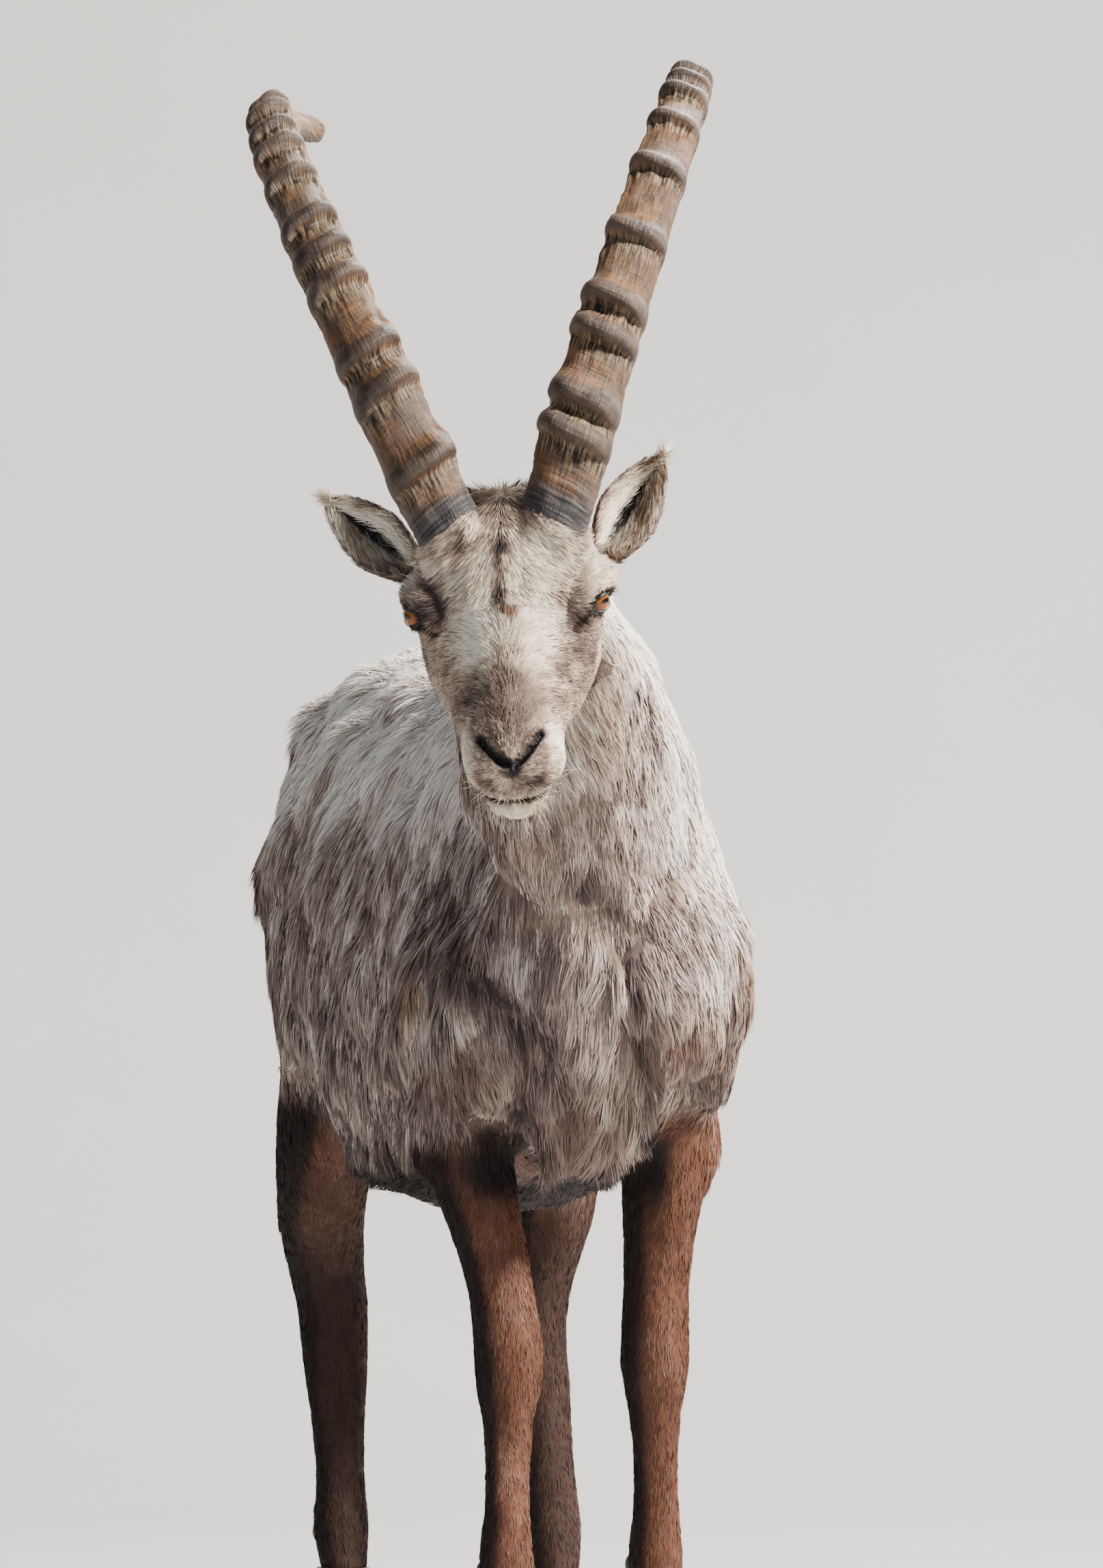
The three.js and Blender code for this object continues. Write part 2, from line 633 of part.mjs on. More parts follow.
function horn(hand, side) {
  const length = HORN_HANDS[hand].curve * radians(HORN.sweep);
  const rings = [0, ...HORN_ROOT].map((place) => hornRing(side, place, 0));
  const ridges = RIDGES[hand];
  ridges.forEach((angle, i) => {
    const place = angle / HORN.sweep;
    const size = THREE.MathUtils.lerp(9, 5, place) * (1 + 0.18 * Math.sin(i * 3.1));
    const wide = THREE.MathUtils.lerp(10, 6.5, place) / length;
    for (const [offset, swell] of [[-1.4, 0], [-0.7, 0.85], [0.3, 1], [1.1, 0.1]]) {
      rings.push(hornRing(side, place + offset * wide, swell * size));
    }
  });
  for (const place of [0.89, 0.935, 0.97, 0.993]) rings.push(hornRing(side, place, 0));
  return loft(rings);
}

// The hole for the horn's root, and the ring of thick hair that stands round it
function hornRoot(side) {
  return loft([-0.001, ...HORN_ROOT].map((place) => hornRing(side, place, 0, GAP)));
}

function hornCollar(side) {
  const steps = [[-0.03, 6], [0.002, 5], [0.02, 1.8]];
  return loft(steps.map(([place, grow]) => hornRing(side, place, 0, grow)));
}

// Tail

const TAIL = [
  { at: 0, half: 22, deep: 17 },
  { at: 0.3, half: 25, deep: 15 },
  { at: 0.75, half: 19, deep: 10 },
  { at: 1, half: 6, deep: 4 },
];
const tailLine = new THREE.CatmullRomCurve3([
  vec(0, RUMP_END - 26, 812),
  vec(0, RUMP_END + 12, 796),
  vec(0, RUMP_END + 30, 752),
  vec(0, RUMP_END + 34, 694),
]);

function tailSolid(grow = 0) {
  const rings = [];
  for (let i = 0; i <= 6; i++) {
    const t = i / 6;
    const s = along(TAIL, t);
    const middle = tailLine.getPointAt(t);
    const ahead = tailLine.getTangentAt(t);
    const back = vec(1, 0, 0).cross(ahead).normalize();
    rings.push(
      Array.from({ length: 10 }, (_, j) => {
        const turn = (j / 10) * 2 * Math.PI;
        return middle
          .clone()
          .addScaledVector(vec(1, 0, 0), (s.half + grow) * Math.cos(turn))
          .addScaledVector(back, (s.deep + grow) * Math.sin(turn));
      }),
    );
  }
  return loft(rings);
}

// Coat

// A repeatable draw between two values, for what grows a little differently from lock to lock
let seed = 7;
function draw(low, high) {
  seed = (seed * 16807) % 2147483647;
  return low + ((high - low) * seed) / 2147483647;
}

function geometryOf(solid) {
  const { numProp, numVert, vertProperties, triVerts } = solid.getMesh();
  const place = new Float32Array(numVert * 3);
  for (let i = 0; i < numVert; i++) place.set(vertProperties.subarray(i * numProp, i * numProp + 3), i * 3);
  const geometry = new THREE.BufferGeometry();
  geometry.setAttribute("position", new THREE.BufferAttribute(place, 3));
  geometry.setIndex(new THREE.BufferAttribute(triVerts, 1));
  return geometry;
}

// A mesh of a solid that rays can be cast on
const surfaceOf = (solid) =>
  new THREE.Mesh(geometryOf(solid), new THREE.MeshBasicMaterial({ side: THREE.DoubleSide }));

// Where a ray meets a surface within a reach, with the surface's normal there
const caster = new THREE.Raycaster();
function meet(surface, from, towards, reach) {
  caster.set(from, towards.clone().normalize());
  caster.far = reach;
  const [hit] = caster.intersectObject(surface);
  return hit && { point: hit.point, normal: hit.face.normal.clone() };
}

// A lock of hair: flat on the side it lies on, rooted under the surface, bending along its lie to a free tip
const ROOT_DEPTH = 9;
const LOCK_STEPS = [
  { height: -1, wide: 0.75, thick: 1 },
  { height: 0.32, wide: 1, thick: 1 },
  { height: 0.62, wide: 0.74, thick: 0.75 },
];
function lock(surface, root, lie, { length, width, thick, lift, bend }) {
  let { point, normal } = root;
  const rings = [];
  const reach = length / LOCK_STEPS.length;
  const heading = lie.clone();
  for (const step of LOCK_STEPS) {
    heading.applyAxisAngle(normal, bend);
    const ahead = heading.clone().addScaledVector(normal, -heading.dot(normal)).normalize();
    const across = normal.clone().cross(ahead).normalize();
    const height = step.height < 0 ? -ROOT_DEPTH : step.height * lift;
    const middle = point.clone().addScaledVector(normal, height);
    const half = (width * step.wide) / 2;
    rings.push(
      [[-half, 0], [half, 0], [half * 0.1, thick * step.thick]].map(([side, out]) =>
        middle.clone().addScaledVector(across, side).addScaledVector(normal, out),
      ),
    );
    const next = point.clone().addScaledVector(ahead, reach);
    const found = meet(surface, next.clone().addScaledVector(normal, 60), normal.clone().negate(), 95);
    if (found) {
      point = found.point;
      normal.lerp(found.normal, 0.6).normalize();
    } else {
      point = next;
      heading.z -= 0.3;
    }
  }
  const tip = point.clone().addScaledVector(normal, lift);
  const points = [...rings.flat(), tip];
  const triangles = [0, 2, 1];
  const end = (rings.length - 1) * 3;
  for (let a = 0; a < end; a++) {
    const b = a % 3 === 2 ? a - 2 : a + 1;
    triangles.push(a, b, a + 3, b, b + 3, a + 3);
  }
  for (let j = 0; j < 3; j++) triangles.push(end + j, end + ((j + 1) % 3), end + 3);
  return solidFrom(points, triangles);
}

const varied = (size) => ({
  thick: size.thick,
  length: size.length * draw(0.82, 1.2),
  width: size.width * draw(0.85, 1.2),
  lift: size.lift * draw(0.8, 1.25),
  bend: draw(-0.22, 0.22),
});

const NECK_LOCK = { length: 108, width: 48, thick: 8, lift: 11 };
const TRUNK_LOCK = { length: 148, width: 74, thick: 9, lift: 12 };
const CHEST_LOCK = { length: 108, width: 46, thick: 11, lift: 14 };
const FRINGE_LOCK = { length: 92, width: 42, thick: 9, lift: 5 };

// Locks in rows along a lofted shape, set over each other's gaps like tiles
function coatRows(surface, pointAt, { places, from, to, count, sway }, lieAt, size) {
  const locks = [];
  places.forEach((place, row) => {
    for (let i = 0; i < count; i++) {
      const even = (i + (row % 2 ? 0.5 : 0) + draw(-0.15, 0.15)) / count;
      const turn = THREE.MathUtils.lerp(from, to, even);
      const at = place + draw(-sway, sway);
      const outside = pointAt(at, turn, 60);
      const inside = pointAt(at, turn, -20);
      const root = meet(surface, outside, inside.sub(outside), 110);
      if (root) locks.push(lock(surface, root, lieAt(root), varied(size)));
    }
  });
  return locks;
}

// The neck's hair falls from behind the ears to the shoulders, and down at the throat
const neckLie = ({ normal }) => vec(0.3, 0.62, -0.6 - 0.35 * Math.abs(normal.x));
const NECK_ROWS = { places: [0.36, 0.48, 0.6, 0.72, 0.84], from: 0, to: 2 * Math.PI, count: 9, sway: 0.015 };

// The trunk's hair runs back along the spine, and back and down on the sides
const trunkLie = ({ normal }) => vec(0, 0.95 - 0.35 * Math.abs(normal.x), -0.5 * Math.abs(normal.x) - 0.12);
const TRUNK_ROWS = {
  places: [-30, 90, 210, 330, 450, 570, 685, 795],
  from: -0.14 * Math.PI,
  to: 1.14 * Math.PI,
  count: 6,
  sway: 10,
};

// Hair that hangs down from a row of places, each sought along a line into the body
function hanging(surface, starts, towards, lie, size) {
  return starts.flatMap((start) => {
    const root = meet(surface, start.add(vec(draw(-8, 8), draw(-8, 8), draw(-8, 8))), towards, 480);
    return root ? [lock(surface, root, lie, varied(size))] : [];
  });
}

// The front of the chest, in rows of places seen from the front
const CHEST_ROWS = [
  { up: 690, places: [-96, -34, 30, 92] },
  { up: 640, places: [-124, -62, 0, 62, 116] },
  { up: 590, places: [-98, -34, 30, 92] },
  { up: 540, places: [-118, -64, -6, 52, 108] },
  { up: 492, places: [-46, -4, 40] },
];
const chestLocks = (surface) =>
  CHEST_ROWS.flatMap(({ up, places }) =>
    hanging(surface, places.map((x) => vec(x, -420, up)), vec(0, 1, 0), vec(0, 0.06, -1), CHEST_LOCK),
  );

// The fringes under the shoulders and along the belly, which hang free at their lower edge
const fringeLocks = (surface) =>
  [-1, 1].flatMap((side) => [
    ...hanging(surface, [-66, -16, 40, 96].map((y) => vec(side * 320, y, 510)), vec(-side, 0, 0), vec(0, 0.2, -1), FRINGE_LOCK),
    ...hanging(surface, [205, 300, 395, 490, 585].map((y) => vec(side * 320, y, 448)), vec(-side, 0, 0.1), vec(-side * 0.2, 0.6, -0.8), FRINGE_LOCK),
  ]);

// The long hairs of the tail and the few of the short beard
const TAIL_LOCK = { length: 66, width: 22, thick: 7, lift: 6 };
function tailLocks(core) {
  const surface = surfaceOf(core);
  return [[-1, 0], [1, 0], [0, 1], [0, -1]].flatMap(([x, y]) => {
    const start = tailLine.getPointAt(0.6).add(vec(x * 60, y * 60, 0));
    return hanging(surface, [start], vec(-x, -y, 0), vec(0, 0.05, -1), TAIL_LOCK);
  });
}

const BEARD_LOCK = { length: 34, width: 12, thick: 5, lift: 4 };
const BEARD_PLACES = [[-8, 250], [9, 250], [0, 236], [9, 224], [-9, 222]];
function beardLocks(core) {
  const surface = surfaceOf(core);
  const lie = vec(0, 0.45, -1).applyAxisAngle(vec(1, 0, 0), -HEAD_PITCH);
  return BEARD_PLACES.flatMap(([side, nose]) => {
    const root = meet(surface, vec(side, -nose, -140), vec(0, 0, 1), 160);
    return root ? [lock(surface, root, lie, varied(BEARD_LOCK))] : [];
  });
}

// Putting the animal together

const MATERIALS = {
  coat: { color: 0xb5a698, roughness: 0.9 },
  face: { color: 0xc4b8a8, roughness: 0.85 },
  leg: { color: 0x5e3420, roughness: 0.8 },
  horn: { color: 0x8a6f57, roughness: 0.6 },
  hoof: { color: 0x2b2523, roughness: 0.5 },
  eye: { color: 0xc86a14, roughness: 0.08 },
};

const ibex = new THREE.Group();
const skull = new THREE.Group();
skull.position.copy(headOrigin);
skull.rotation.copy(headTurn);

function add(group, name, kind, solid) {
  const whole = largest(solid);
  const finish = new THREE.MeshStandardMaterial({ ...MATERIALS[kind], metalness: 0 });
  const mesh = new THREE.Mesh(geometryOf(whole), finish);
  mesh.name = name;
  group.add(mesh);
  return whole;
}

// Shoulder points and haunches, which stand out of the barrel
const muscles = [
  ball(vec(62, 78, 108), placed(78, -86, 580, 0.2, 0, 0), 13, 8),
  ball(vec(62, 78, 108), placed(-88, -92, 576, 0.2, 0, 0), 13, 8),
  ball(vec(46, 54, 82), placed(-18, -106, 514, 0.1, 0, 0), 11, 7),
];
const legTops = Object.values(LEGS).map((leg) => legSolid(leg, leg.leaves - 6, leg.shape.at(-1).at - 4, 4));
const legPockets = Object.values(LEGS).map((leg) => upperLeg(leg, 2 * GAP));

const trunk = join([torsoCore(), ...muscles, ...legTops]);
const trunkSurface = surfaceOf(trunk);
const trunkCoat = [
  ...chestLocks(trunkSurface),
  ...fringeLocks(trunkSurface),
  ...coatRows(trunkSurface, torsoPoint, TRUNK_ROWS, trunkLie, TRUNK_LOCK),
];
let torso = join([trunk, ...trunkCoat]);
torso = keepSide(torso, shoulderCut.point, shoulderCut.normal.clone().negate());
for (const pocket of legPockets) torso = torso.subtract(pocket);
add(ibex, "torso", "coat", torso.subtract(tailSolid(GAP)));
add(ibex, "tail", "leg", join([tailSolid(), ...tailLocks(tailSolid())]));

const neckFlesh = neckCore();
let neck = join([neckFlesh, ...coatRows(surfaceOf(neckFlesh), neckPoint, NECK_ROWS, neckLie, NECK_LOCK)]);
neck = keepSide(neck, shoulderCut.point, shoulderCut.normal);
neck = keepSide(neck, throatCut.point, throatCut.normal.clone().negate());
add(ibex, "neck", "coat", neck);

for (const [name, leg] of Object.entries(LEGS)) {
  const sockets = Object.values(LEFT_RIGHT).map((side) => dewclaw(leg, side, GAP));
  const lower = sockets.reduce((shape, hole) => shape.subtract(hole), legSolid(leg, CLAW.height, leg.joint, 10));
  add(ibex, name + "_upper", "leg", upperLeg(leg));
  add(ibex, name + "_lower", "leg", lower);
  for (const [hand, side] of Object.entries(LEFT_RIGHT)) {
    add(ibex, name + "_claw_" + hand, "hoof", claw(leg, side));
    add(ibex, name + "_dewclaw_" + hand, "hoof", dewclaw(leg, side));
  }
}

const collars = Object.values(LEFT_RIGHT).map(hornCollar);
const jaw = skullLoft(JAW, 8, 12);
const face = [skullLoft(SKULL, 16, 20), jaw, ...collars, rim(1), rim(-1)];
let head = join([...face, ...beardLocks(jaw)]);
const toHead = headPlace.clone().invert();
const throatNormal = throatCut.normal.clone().transformDirection(toHead);
head = keepSide(head, throatCut.point.clone().applyMatrix4(toHead), throatNormal);
for (const side of Object.values(LEFT_RIGHT)) {
  head = head.subtract(opening(side)).subtract(eyeball(side, GAP)).subtract(nostril(side)).subtract(hornRoot(side));
}
head = head.subtract(mouth());
for (const [hand, side] of Object.entries(LEFT_RIGHT)) {
  head = head.subtract(ear(hand, side, GAP));
  add(skull, "ear_" + hand, "face", ear(hand, side));
  add(skull, "eye_" + hand, "eye", eyeball(side));
  add(skull, "horn_" + hand, "horn", horn(hand, side));
}
add(skull, "head", "face", head);
ibex.add(skull);

// The origin goes on the floor, under the middle of the animal's box
const whole = new THREE.Group();
whole.add(ibex);
whole.updateMatrixWorld(true);
const middle = new THREE.Box3().setFromObject(ibex, true).getCenter(vec(0, 0, 0));
ibex.position.set(-middle.x, -middle.y, 0);

export default whole;
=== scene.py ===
# An adult male alpine ibex, dressed for show: hide, hair, horns, hooves and glass-clear eyes.
# Metres, +Z up. It faces -Y with its left side on +X, and stands on z = 0.
import math

import bpy
import numpy as np
from mathutils import Euler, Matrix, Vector
from mathutils.bvhtree import BVHTree
from mathutils.kdtree import KDTree


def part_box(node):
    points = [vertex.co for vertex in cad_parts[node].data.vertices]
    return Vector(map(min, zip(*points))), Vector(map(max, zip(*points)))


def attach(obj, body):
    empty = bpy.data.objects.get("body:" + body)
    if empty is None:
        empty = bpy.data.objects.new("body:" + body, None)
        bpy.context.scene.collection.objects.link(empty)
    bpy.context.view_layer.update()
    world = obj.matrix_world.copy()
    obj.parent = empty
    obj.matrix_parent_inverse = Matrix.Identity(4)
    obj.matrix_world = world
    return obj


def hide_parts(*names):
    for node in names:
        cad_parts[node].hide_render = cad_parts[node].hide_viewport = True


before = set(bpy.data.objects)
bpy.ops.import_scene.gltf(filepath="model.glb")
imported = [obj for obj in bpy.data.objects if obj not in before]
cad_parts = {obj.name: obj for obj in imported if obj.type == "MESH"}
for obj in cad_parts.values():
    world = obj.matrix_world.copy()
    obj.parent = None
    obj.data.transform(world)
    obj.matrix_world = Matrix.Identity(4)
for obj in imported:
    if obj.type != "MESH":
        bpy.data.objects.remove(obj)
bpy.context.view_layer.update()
bpy.ops.object.select_all(action="DESELECT")


# Where the viewer stands
# The animal is seen level from 16 m, a little to the right of straight ahead, through a long lens.
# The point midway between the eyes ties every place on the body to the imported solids.
BODY_EYES = np.array([-0.135, -0.400, 0.909])
VIEW_TURN = -10.5
VIEW_FAR = 16
VIEW_HEIGHT = 0.760
VIEW_SHIFT = 0.022

eye_boxes = [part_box(eye) for eye in ("eye_left", "eye_right")]
packed_eyes = np.mean([np.mean([np.array(corner) for corner in box], axis=0) for box in eye_boxes], axis=0)
BODY_AT = packed_eyes - BODY_EYES
BODY_AT[2] = 0.0

viewer = math.radians(VIEW_TURN)
view_right = Vector((math.cos(viewer), math.sin(viewer), 0))
view_ahead = Vector((-math.sin(viewer), math.cos(viewer), 0))
aim = Vector(BODY_AT) + Vector((0, 0, VIEW_HEIGHT)) - VIEW_SHIFT * view_right
bpy.ops.object.camera_add(location=aim - VIEW_FAR * view_ahead)
camera = bpy.context.object
camera.rotation_euler = view_ahead.to_track_quat("-Z", "Y").to_euler()
camera.data.sensor_width = 36
camera.data.lens = 426.5
camera.data.clip_end = 60
bpy.context.scene.camera = camera


def seen(points):
    """How far places lie to the right, and how high, as the viewer sees them, in millimetres."""
    place = (points - np.array(aim)) * 1000
    nearness = 1000 * VIEW_FAR / (1000 * VIEW_FAR + place @ np.array(view_ahead))
    return place @ np.array(view_right) * nearness, 1000 * VIEW_HEIGHT + place[:, 2] * nearness


# The hide
# One skin runs over trunk, neck, head, tail and legs down to the hooves. It lies under the hair by the
# coat's depth. The finer skin of the face, with folds, nostrils and lips, starts inside the neck's.
HEAD_PITCH = 44
HEAD_ROLL = -4.4
HEAD_YAW = -13.5
EYE_PLACE = np.array([72, 112, 31])
EYE_RADIUS = 14.5
EYE_OUTWARD = np.array([0.78, -0.56, 0.28])
OPENING_UP = np.array([0, 0.35, 0.94])
LID_ABOVE = 0.47
LID_BELOW = 0.66
LID_AHEAD = 1.15
LID_BEHIND = 2.3
LEGS = ["fore_left", "fore_right", "hind_left", "hind_right"]
HIDE_GRAIN = 0.0084
FACE_GRAIN = 0.0028
FAR_OFF = 999

turn = Euler([math.radians(a) for a in (HEAD_PITCH, HEAD_ROLL, HEAD_YAW)], "XYZ").to_matrix()
HEAD_AXES = np.array(turn)
HEAD_AT = packed_eyes - HEAD_AXES @ np.array([0, -EYE_PLACE[1], EYE_PLACE[2]]) / 1000


def from_head(side, nose, up):
    """World places of places in the head, given in millimetres: to the left, towards the nose, and up."""
    place = np.stack(np.broadcast_arrays(side, -np.asarray(nose, float), up), -1) / 1000
    return place @ HEAD_AXES.T + HEAD_AT


def out_of_head(places):
    """World places of places in the head's frame, whose middle number goes to the back of the head."""
    return from_head(places[:, 0], -places[:, 1], places[:, 2])


def in_head(points):
    """Places in the head, in millimetres, of world places."""
    side, back, up = ((points - HEAD_AT) @ HEAD_AXES * 1000).T
    return side, -back, up


def in_body(points):
    """Places on the body, in millimetres, of world places."""
    return ((points - BODY_AT) * 1000).T


def ease(low, high, value):
    """Goes smoothly from 0 at low to 1 at high."""
    t = np.clip((value - low) / (high - low), 0, 1)
    return t * t * (3 - 2 * t)


def copy_of(name, nodes):
    """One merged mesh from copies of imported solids."""
    bpy.ops.object.select_all(action="DESELECT")
    for node in nodes:
        part = bpy.data.objects.new(name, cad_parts[node].data.copy())
        bpy.context.collection.objects.link(part)
        part.select_set(True)
    bpy.context.view_layer.objects.active = part
    bpy.ops.object.join()
    bpy.ops.object.mode_set(mode="EDIT")
    bpy.ops.mesh.select_all(action="SELECT")
    bpy.ops.mesh.remove_doubles(threshold=0.00001)
    bpy.ops.object.mode_set(mode="OBJECT")
    part.name = name
    return part


def shape(piece, kind, **settings):
    """Puts a modifier on a piece and applies it."""
    bpy.context.view_layer.objects.active = piece
    modifier = piece.modifiers.new(kind, kind)
    for key, value in settings.items():
        setattr(modifier, key, value)
    bpy.ops.object.modifier_apply(modifier=modifier.name)


def read(items, name, width=3):
    """One value of each of a mesh's items, as rows of so many numbers."""
    values = np.empty(len(items) * width, np.float32)
    items.foreach_get(name, values)
    return values.reshape(-1, width).astype(float)


def points_of(piece):
    return read(piece.data.vertices, "co")


def normals_of(piece):
    return read(piece.data.vertex_normals, "vector")


def give(piece, name, values):
    """Stores three or four numbers for each point of a piece, which its material reads by name."""
    kind, key = ("FLOAT_COLOR", "color") if values.shape[1] == 4 else ("FLOAT_VECTOR", "vector")
    slot = piece.data.attributes.new(name, kind, "POINT")
    slot.data.foreach_set(key, values.astype(np.float32).ravel())


def move_points(piece, points):
    piece.data.vertices.foreach_set("co", points.astype(np.float32).ravel())
    piece.data.update()


def select_faces(piece, chosen=lambda centres: np.ones(len(centres), bool)):
    """Goes into edit mode with the faces selected whose centres are chosen, or else with all of them."""
    bpy.ops.object.select_all(action="DESELECT")
    piece.select_set(True)
    bpy.context.view_layer.objects.active = piece
    bpy.ops.object.mode_set(mode="EDIT")
    bpy.ops.mesh.select_mode(type="FACE")
    bpy.ops.mesh.select_all(action="DESELECT")
    bpy.ops.object.mode_set(mode="OBJECT")
    piece.data.polygons.foreach_set("select", chosen(read(piece.data.polygons, "center")))
    bpy.ops.object.mode_set(mode="EDIT")


def unwrap(piece):
    select_faces(piece)
    bpy.ops.uv.smart_project(angle_limit=math.radians(66), island_margin=0.001)
    bpy.ops.object.mode_set(mode="OBJECT")


def smooth(piece, name, weights, times):
    """Smooths a piece so many times, as strongly at each point as its weight from 0 to 1 says."""
    members = piece.vertex_groups.new(name=name)
    for level in range(1, 11):
        chosen = np.flatnonzero(np.round(weights * 10) == level)
        members.add([int(i) for i in chosen], level / 10, "REPLACE")
    shape(piece, "SMOOTH", factor=0.5, iterations=times, vertex_group=name)


# The cut at the throat, in the head's own frame
THROAT_POINT = np.array([0, 14, 52])
THROAT_NORMAL = np.array([0, -0.825, 0.565])


def near(far, reach, crisp=2):
    """1 at no distance, fading out at the reach, sooner or later as it is crisp."""
    return np.exp(-((far / reach) ** crisp))


def spot(place, middle, size, crisp=1):
    """A soft round patch: 1 in its middle, fading out at its size, sooner or later as it is crisp."""
    far = sum(((p - m) / s) ** 2 for p, m, s in zip(place, middle, size))
    return np.exp(-(far**crisp))


def past_throat(points):
    """How far places lie on the head's side of the throat, in millimetres."""
    nose, up = in_head(points)[1:]
    return (-nose - THROAT_POINT[1]) * THROAT_NORMAL[1] + (up - THROAT_POINT[2]) * THROAT_NORMAL[2]


packed_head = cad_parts["head"].data
head_corners = [v.co for v in packed_head.vertices]
head_tree = BVHTree.FromPolygons(head_corners, [p.vertices for p in packed_head.polygons])


def off_head(points):
    """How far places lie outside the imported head, in millimetres, and less than 0 inside it."""
    found = [head_tree.find_nearest(place)[:2] for place in points]
    nearest = np.array([place for place, normal in found])
    normals = np.array([normal for place, normal in found])
    far = np.linalg.norm(points - nearest, axis=1) * 1000
    return far * np.where(np.sum((points - nearest) * normals, 1) < 0, -1, 1)


trunk_nodes = ["torso", "neck", "tail"] + [f"{leg}_{half}" for leg in LEGS for half in ("upper", "lower")]
skin = copy_of("hide", trunk_nodes)
shape(skin, "REMESH", mode="VOXEL", voxel_size=HIDE_GRAIN)
smooth(skin, "soft", np.clip(ease(400, 520, in_body(points_of(skin))[2]), 0.15, 1), 14)
across, back, height = in_body(points_of(skin))
smooth(skin, "neck", ease(640, 720, height) * ease(60, -20, back), 36)

face = copy_of("face", ["head", "neck"])
select_faces(face)
cut_at = from_head(0, -THROAT_POINT[1] - 10, THROAT_POINT[2] - 4)
bpy.ops.mesh.bisect(
    plane_co=cut_at, plane_no=HEAD_AXES @ THROAT_NORMAL, use_fill=True, clear_inner=True, threshold=0.00001
)
bpy.ops.object.mode_set(mode="OBJECT")
shape(face, "REMESH", mode="VOXEL", voxel_size=FACE_GRAIN)
smooth(face, "soft", np.clip(ease(30, -20, past_throat(points_of(face))), 0.3, 1), 12)
smooth(face, "rear", ease(28, 2, past_throat(points_of(face))), 40)

# The face's skin ends a little way down the neck, inside the trunk's own skin.
select_faces(face, lambda centres: (off_head(centres) > 11) & (past_throat(centres) < 60))
bpy.ops.mesh.delete(type="FACE")
bpy.ops.mesh.select_all(action="SELECT")
bpy.ops.mesh.fill_holes(sides=0)
bpy.ops.mesh.quads_convert_to_tris()
bpy.ops.object.mode_set(mode="OBJECT")

# Folds and slits of the face, as lines in the head that the skin is pulled in along
NOSTRIL_LINE = [(2, 287, 12), (11, 278, 15), (20, 269, 20), (27, 259, 21)]
PHILTRUM_LINE = [(-1, 289, 6), (-2, 293, -2), (-2, 295, -8)]
TEAR_LINE = [(73, 130, 41), (68, 134, 38), (59, 136, 35), (55, 138, 32)]
CHEEK_FOLD = [(47, 158, -8), (44, 195, -20), (40, 228, -26)]
MOUTH_LINE = [(0, 289, -25), (10, 288, -26), (20, 280, -30), (28, 263, -33), (33, 241, -37), (35, 222, -42)]
LIP_STEP = [
    (36 * math.sin(t), 292 - 60 * (1 - math.cos(t)) ** 1.25, -14 - 15 * (1 - math.cos(t)))
    for t in np.linspace(0, math.pi / 2, 8)
]
FOLDS = [
    (8, NOSTRIL_LINE, 3.8),
    (1.8, PHILTRUM_LINE, 1.8),
    (-2.4, LIP_STEP, 3.0),
    (5.0, MOUTH_LINE, 2.6),
    (1.6, TEAR_LINE, 2.6),
    (1.8, CHEEK_FOLD, 7),
]
SWELLINGS = [
    (4.5, (38, 262, -16), (14, 30, 18)),
    (2.0, (-36, 262, -16), (14, 30, 18)),
    (3.5, (82, 92, 52), (20, 30, 16)),
    (2.0, (0, 288, -38), (18, 14, 12)),
    (8.0, (88, 82, 26), (22, 20, 34)),
    (3.0, (-88, 82, 26), (22, 20, 34)),
]


def off_line(place, line):
    """How far places lie from a line through some corners."""
    best = np.full(len(place), 1e9)
    for a, b in zip(np.array(line, float)[:-1], np.array(line, float)[1:]):
        along = np.clip((place - a) @ (b - a) / ((b - a) @ (b - a)), 0, 1)
        best = np.minimum(best, np.linalg.norm(place - a - along[:, None] * (b - a), axis=1))
    return best


def away_from(points, line):
    """How far places lie from a line in the head or from its mirror image, in millimetres."""
    side, nose, up = in_head(points)
    return off_line(np.stack([np.abs(side), nose, up], 1), line)


def unit(vectors):
    return vectors / np.maximum(np.linalg.norm(vectors, axis=-1, keepdims=True), 1e-9)


def eye_axes(side):
    """The eye's axes in the head: outwards, up across its opening, and back along it."""
    outward = unit(EYE_OUTWARD * [side, 1, 1])
    up = unit(np.cross(np.cross(outward, OPENING_UP), outward))
    return outward, up, np.cross(up, outward) * side


def from_eye(points):
    """How places lie from the middle of the nearer eye, in the head's frame, and how far off."""
    side, nose, up = in_head(points)
    away = np.stack([side - np.sign(side) * EYE_PLACE[0], EYE_PLACE[1] - nose, up - EYE_PLACE[2]], 1)
    return away, np.linalg.norm(away, axis=1)


def past_lids(points):
    """How far places lie outside the opening between the lids, in millimetres round the eyeball."""
    away, far = from_eye(points)
    outward, up, back = eye_axes(1)
    away[:, 0] *= np.sign(in_head(points)[0])
    high = away @ up
    long = away @ back
    wide = np.where(long > 0, LID_BEHIND, LID_AHEAD)
    tall = np.where(high > 0, LID_ABOVE, LID_BELOW)
    edge = np.hypot(long / wide, high / tall)
    rim = np.arctan2(np.hypot(long, high), np.maximum(edge, 1e-6))
    return (np.arccos(np.clip(away @ outward / far, -1, 1)) - rim) * far


def muzzle_and_eyes(centres):
    """The faces that get a finer grain, by their centres."""
    side, nose, up = in_head(centres)
    by_eye = np.hypot(np.abs(side) - 72, nose - 114) < 30
    return ((nose > 245) | (by_eye & (np.abs(up - 31) < 24))) & (past_throat(centres) > 40)


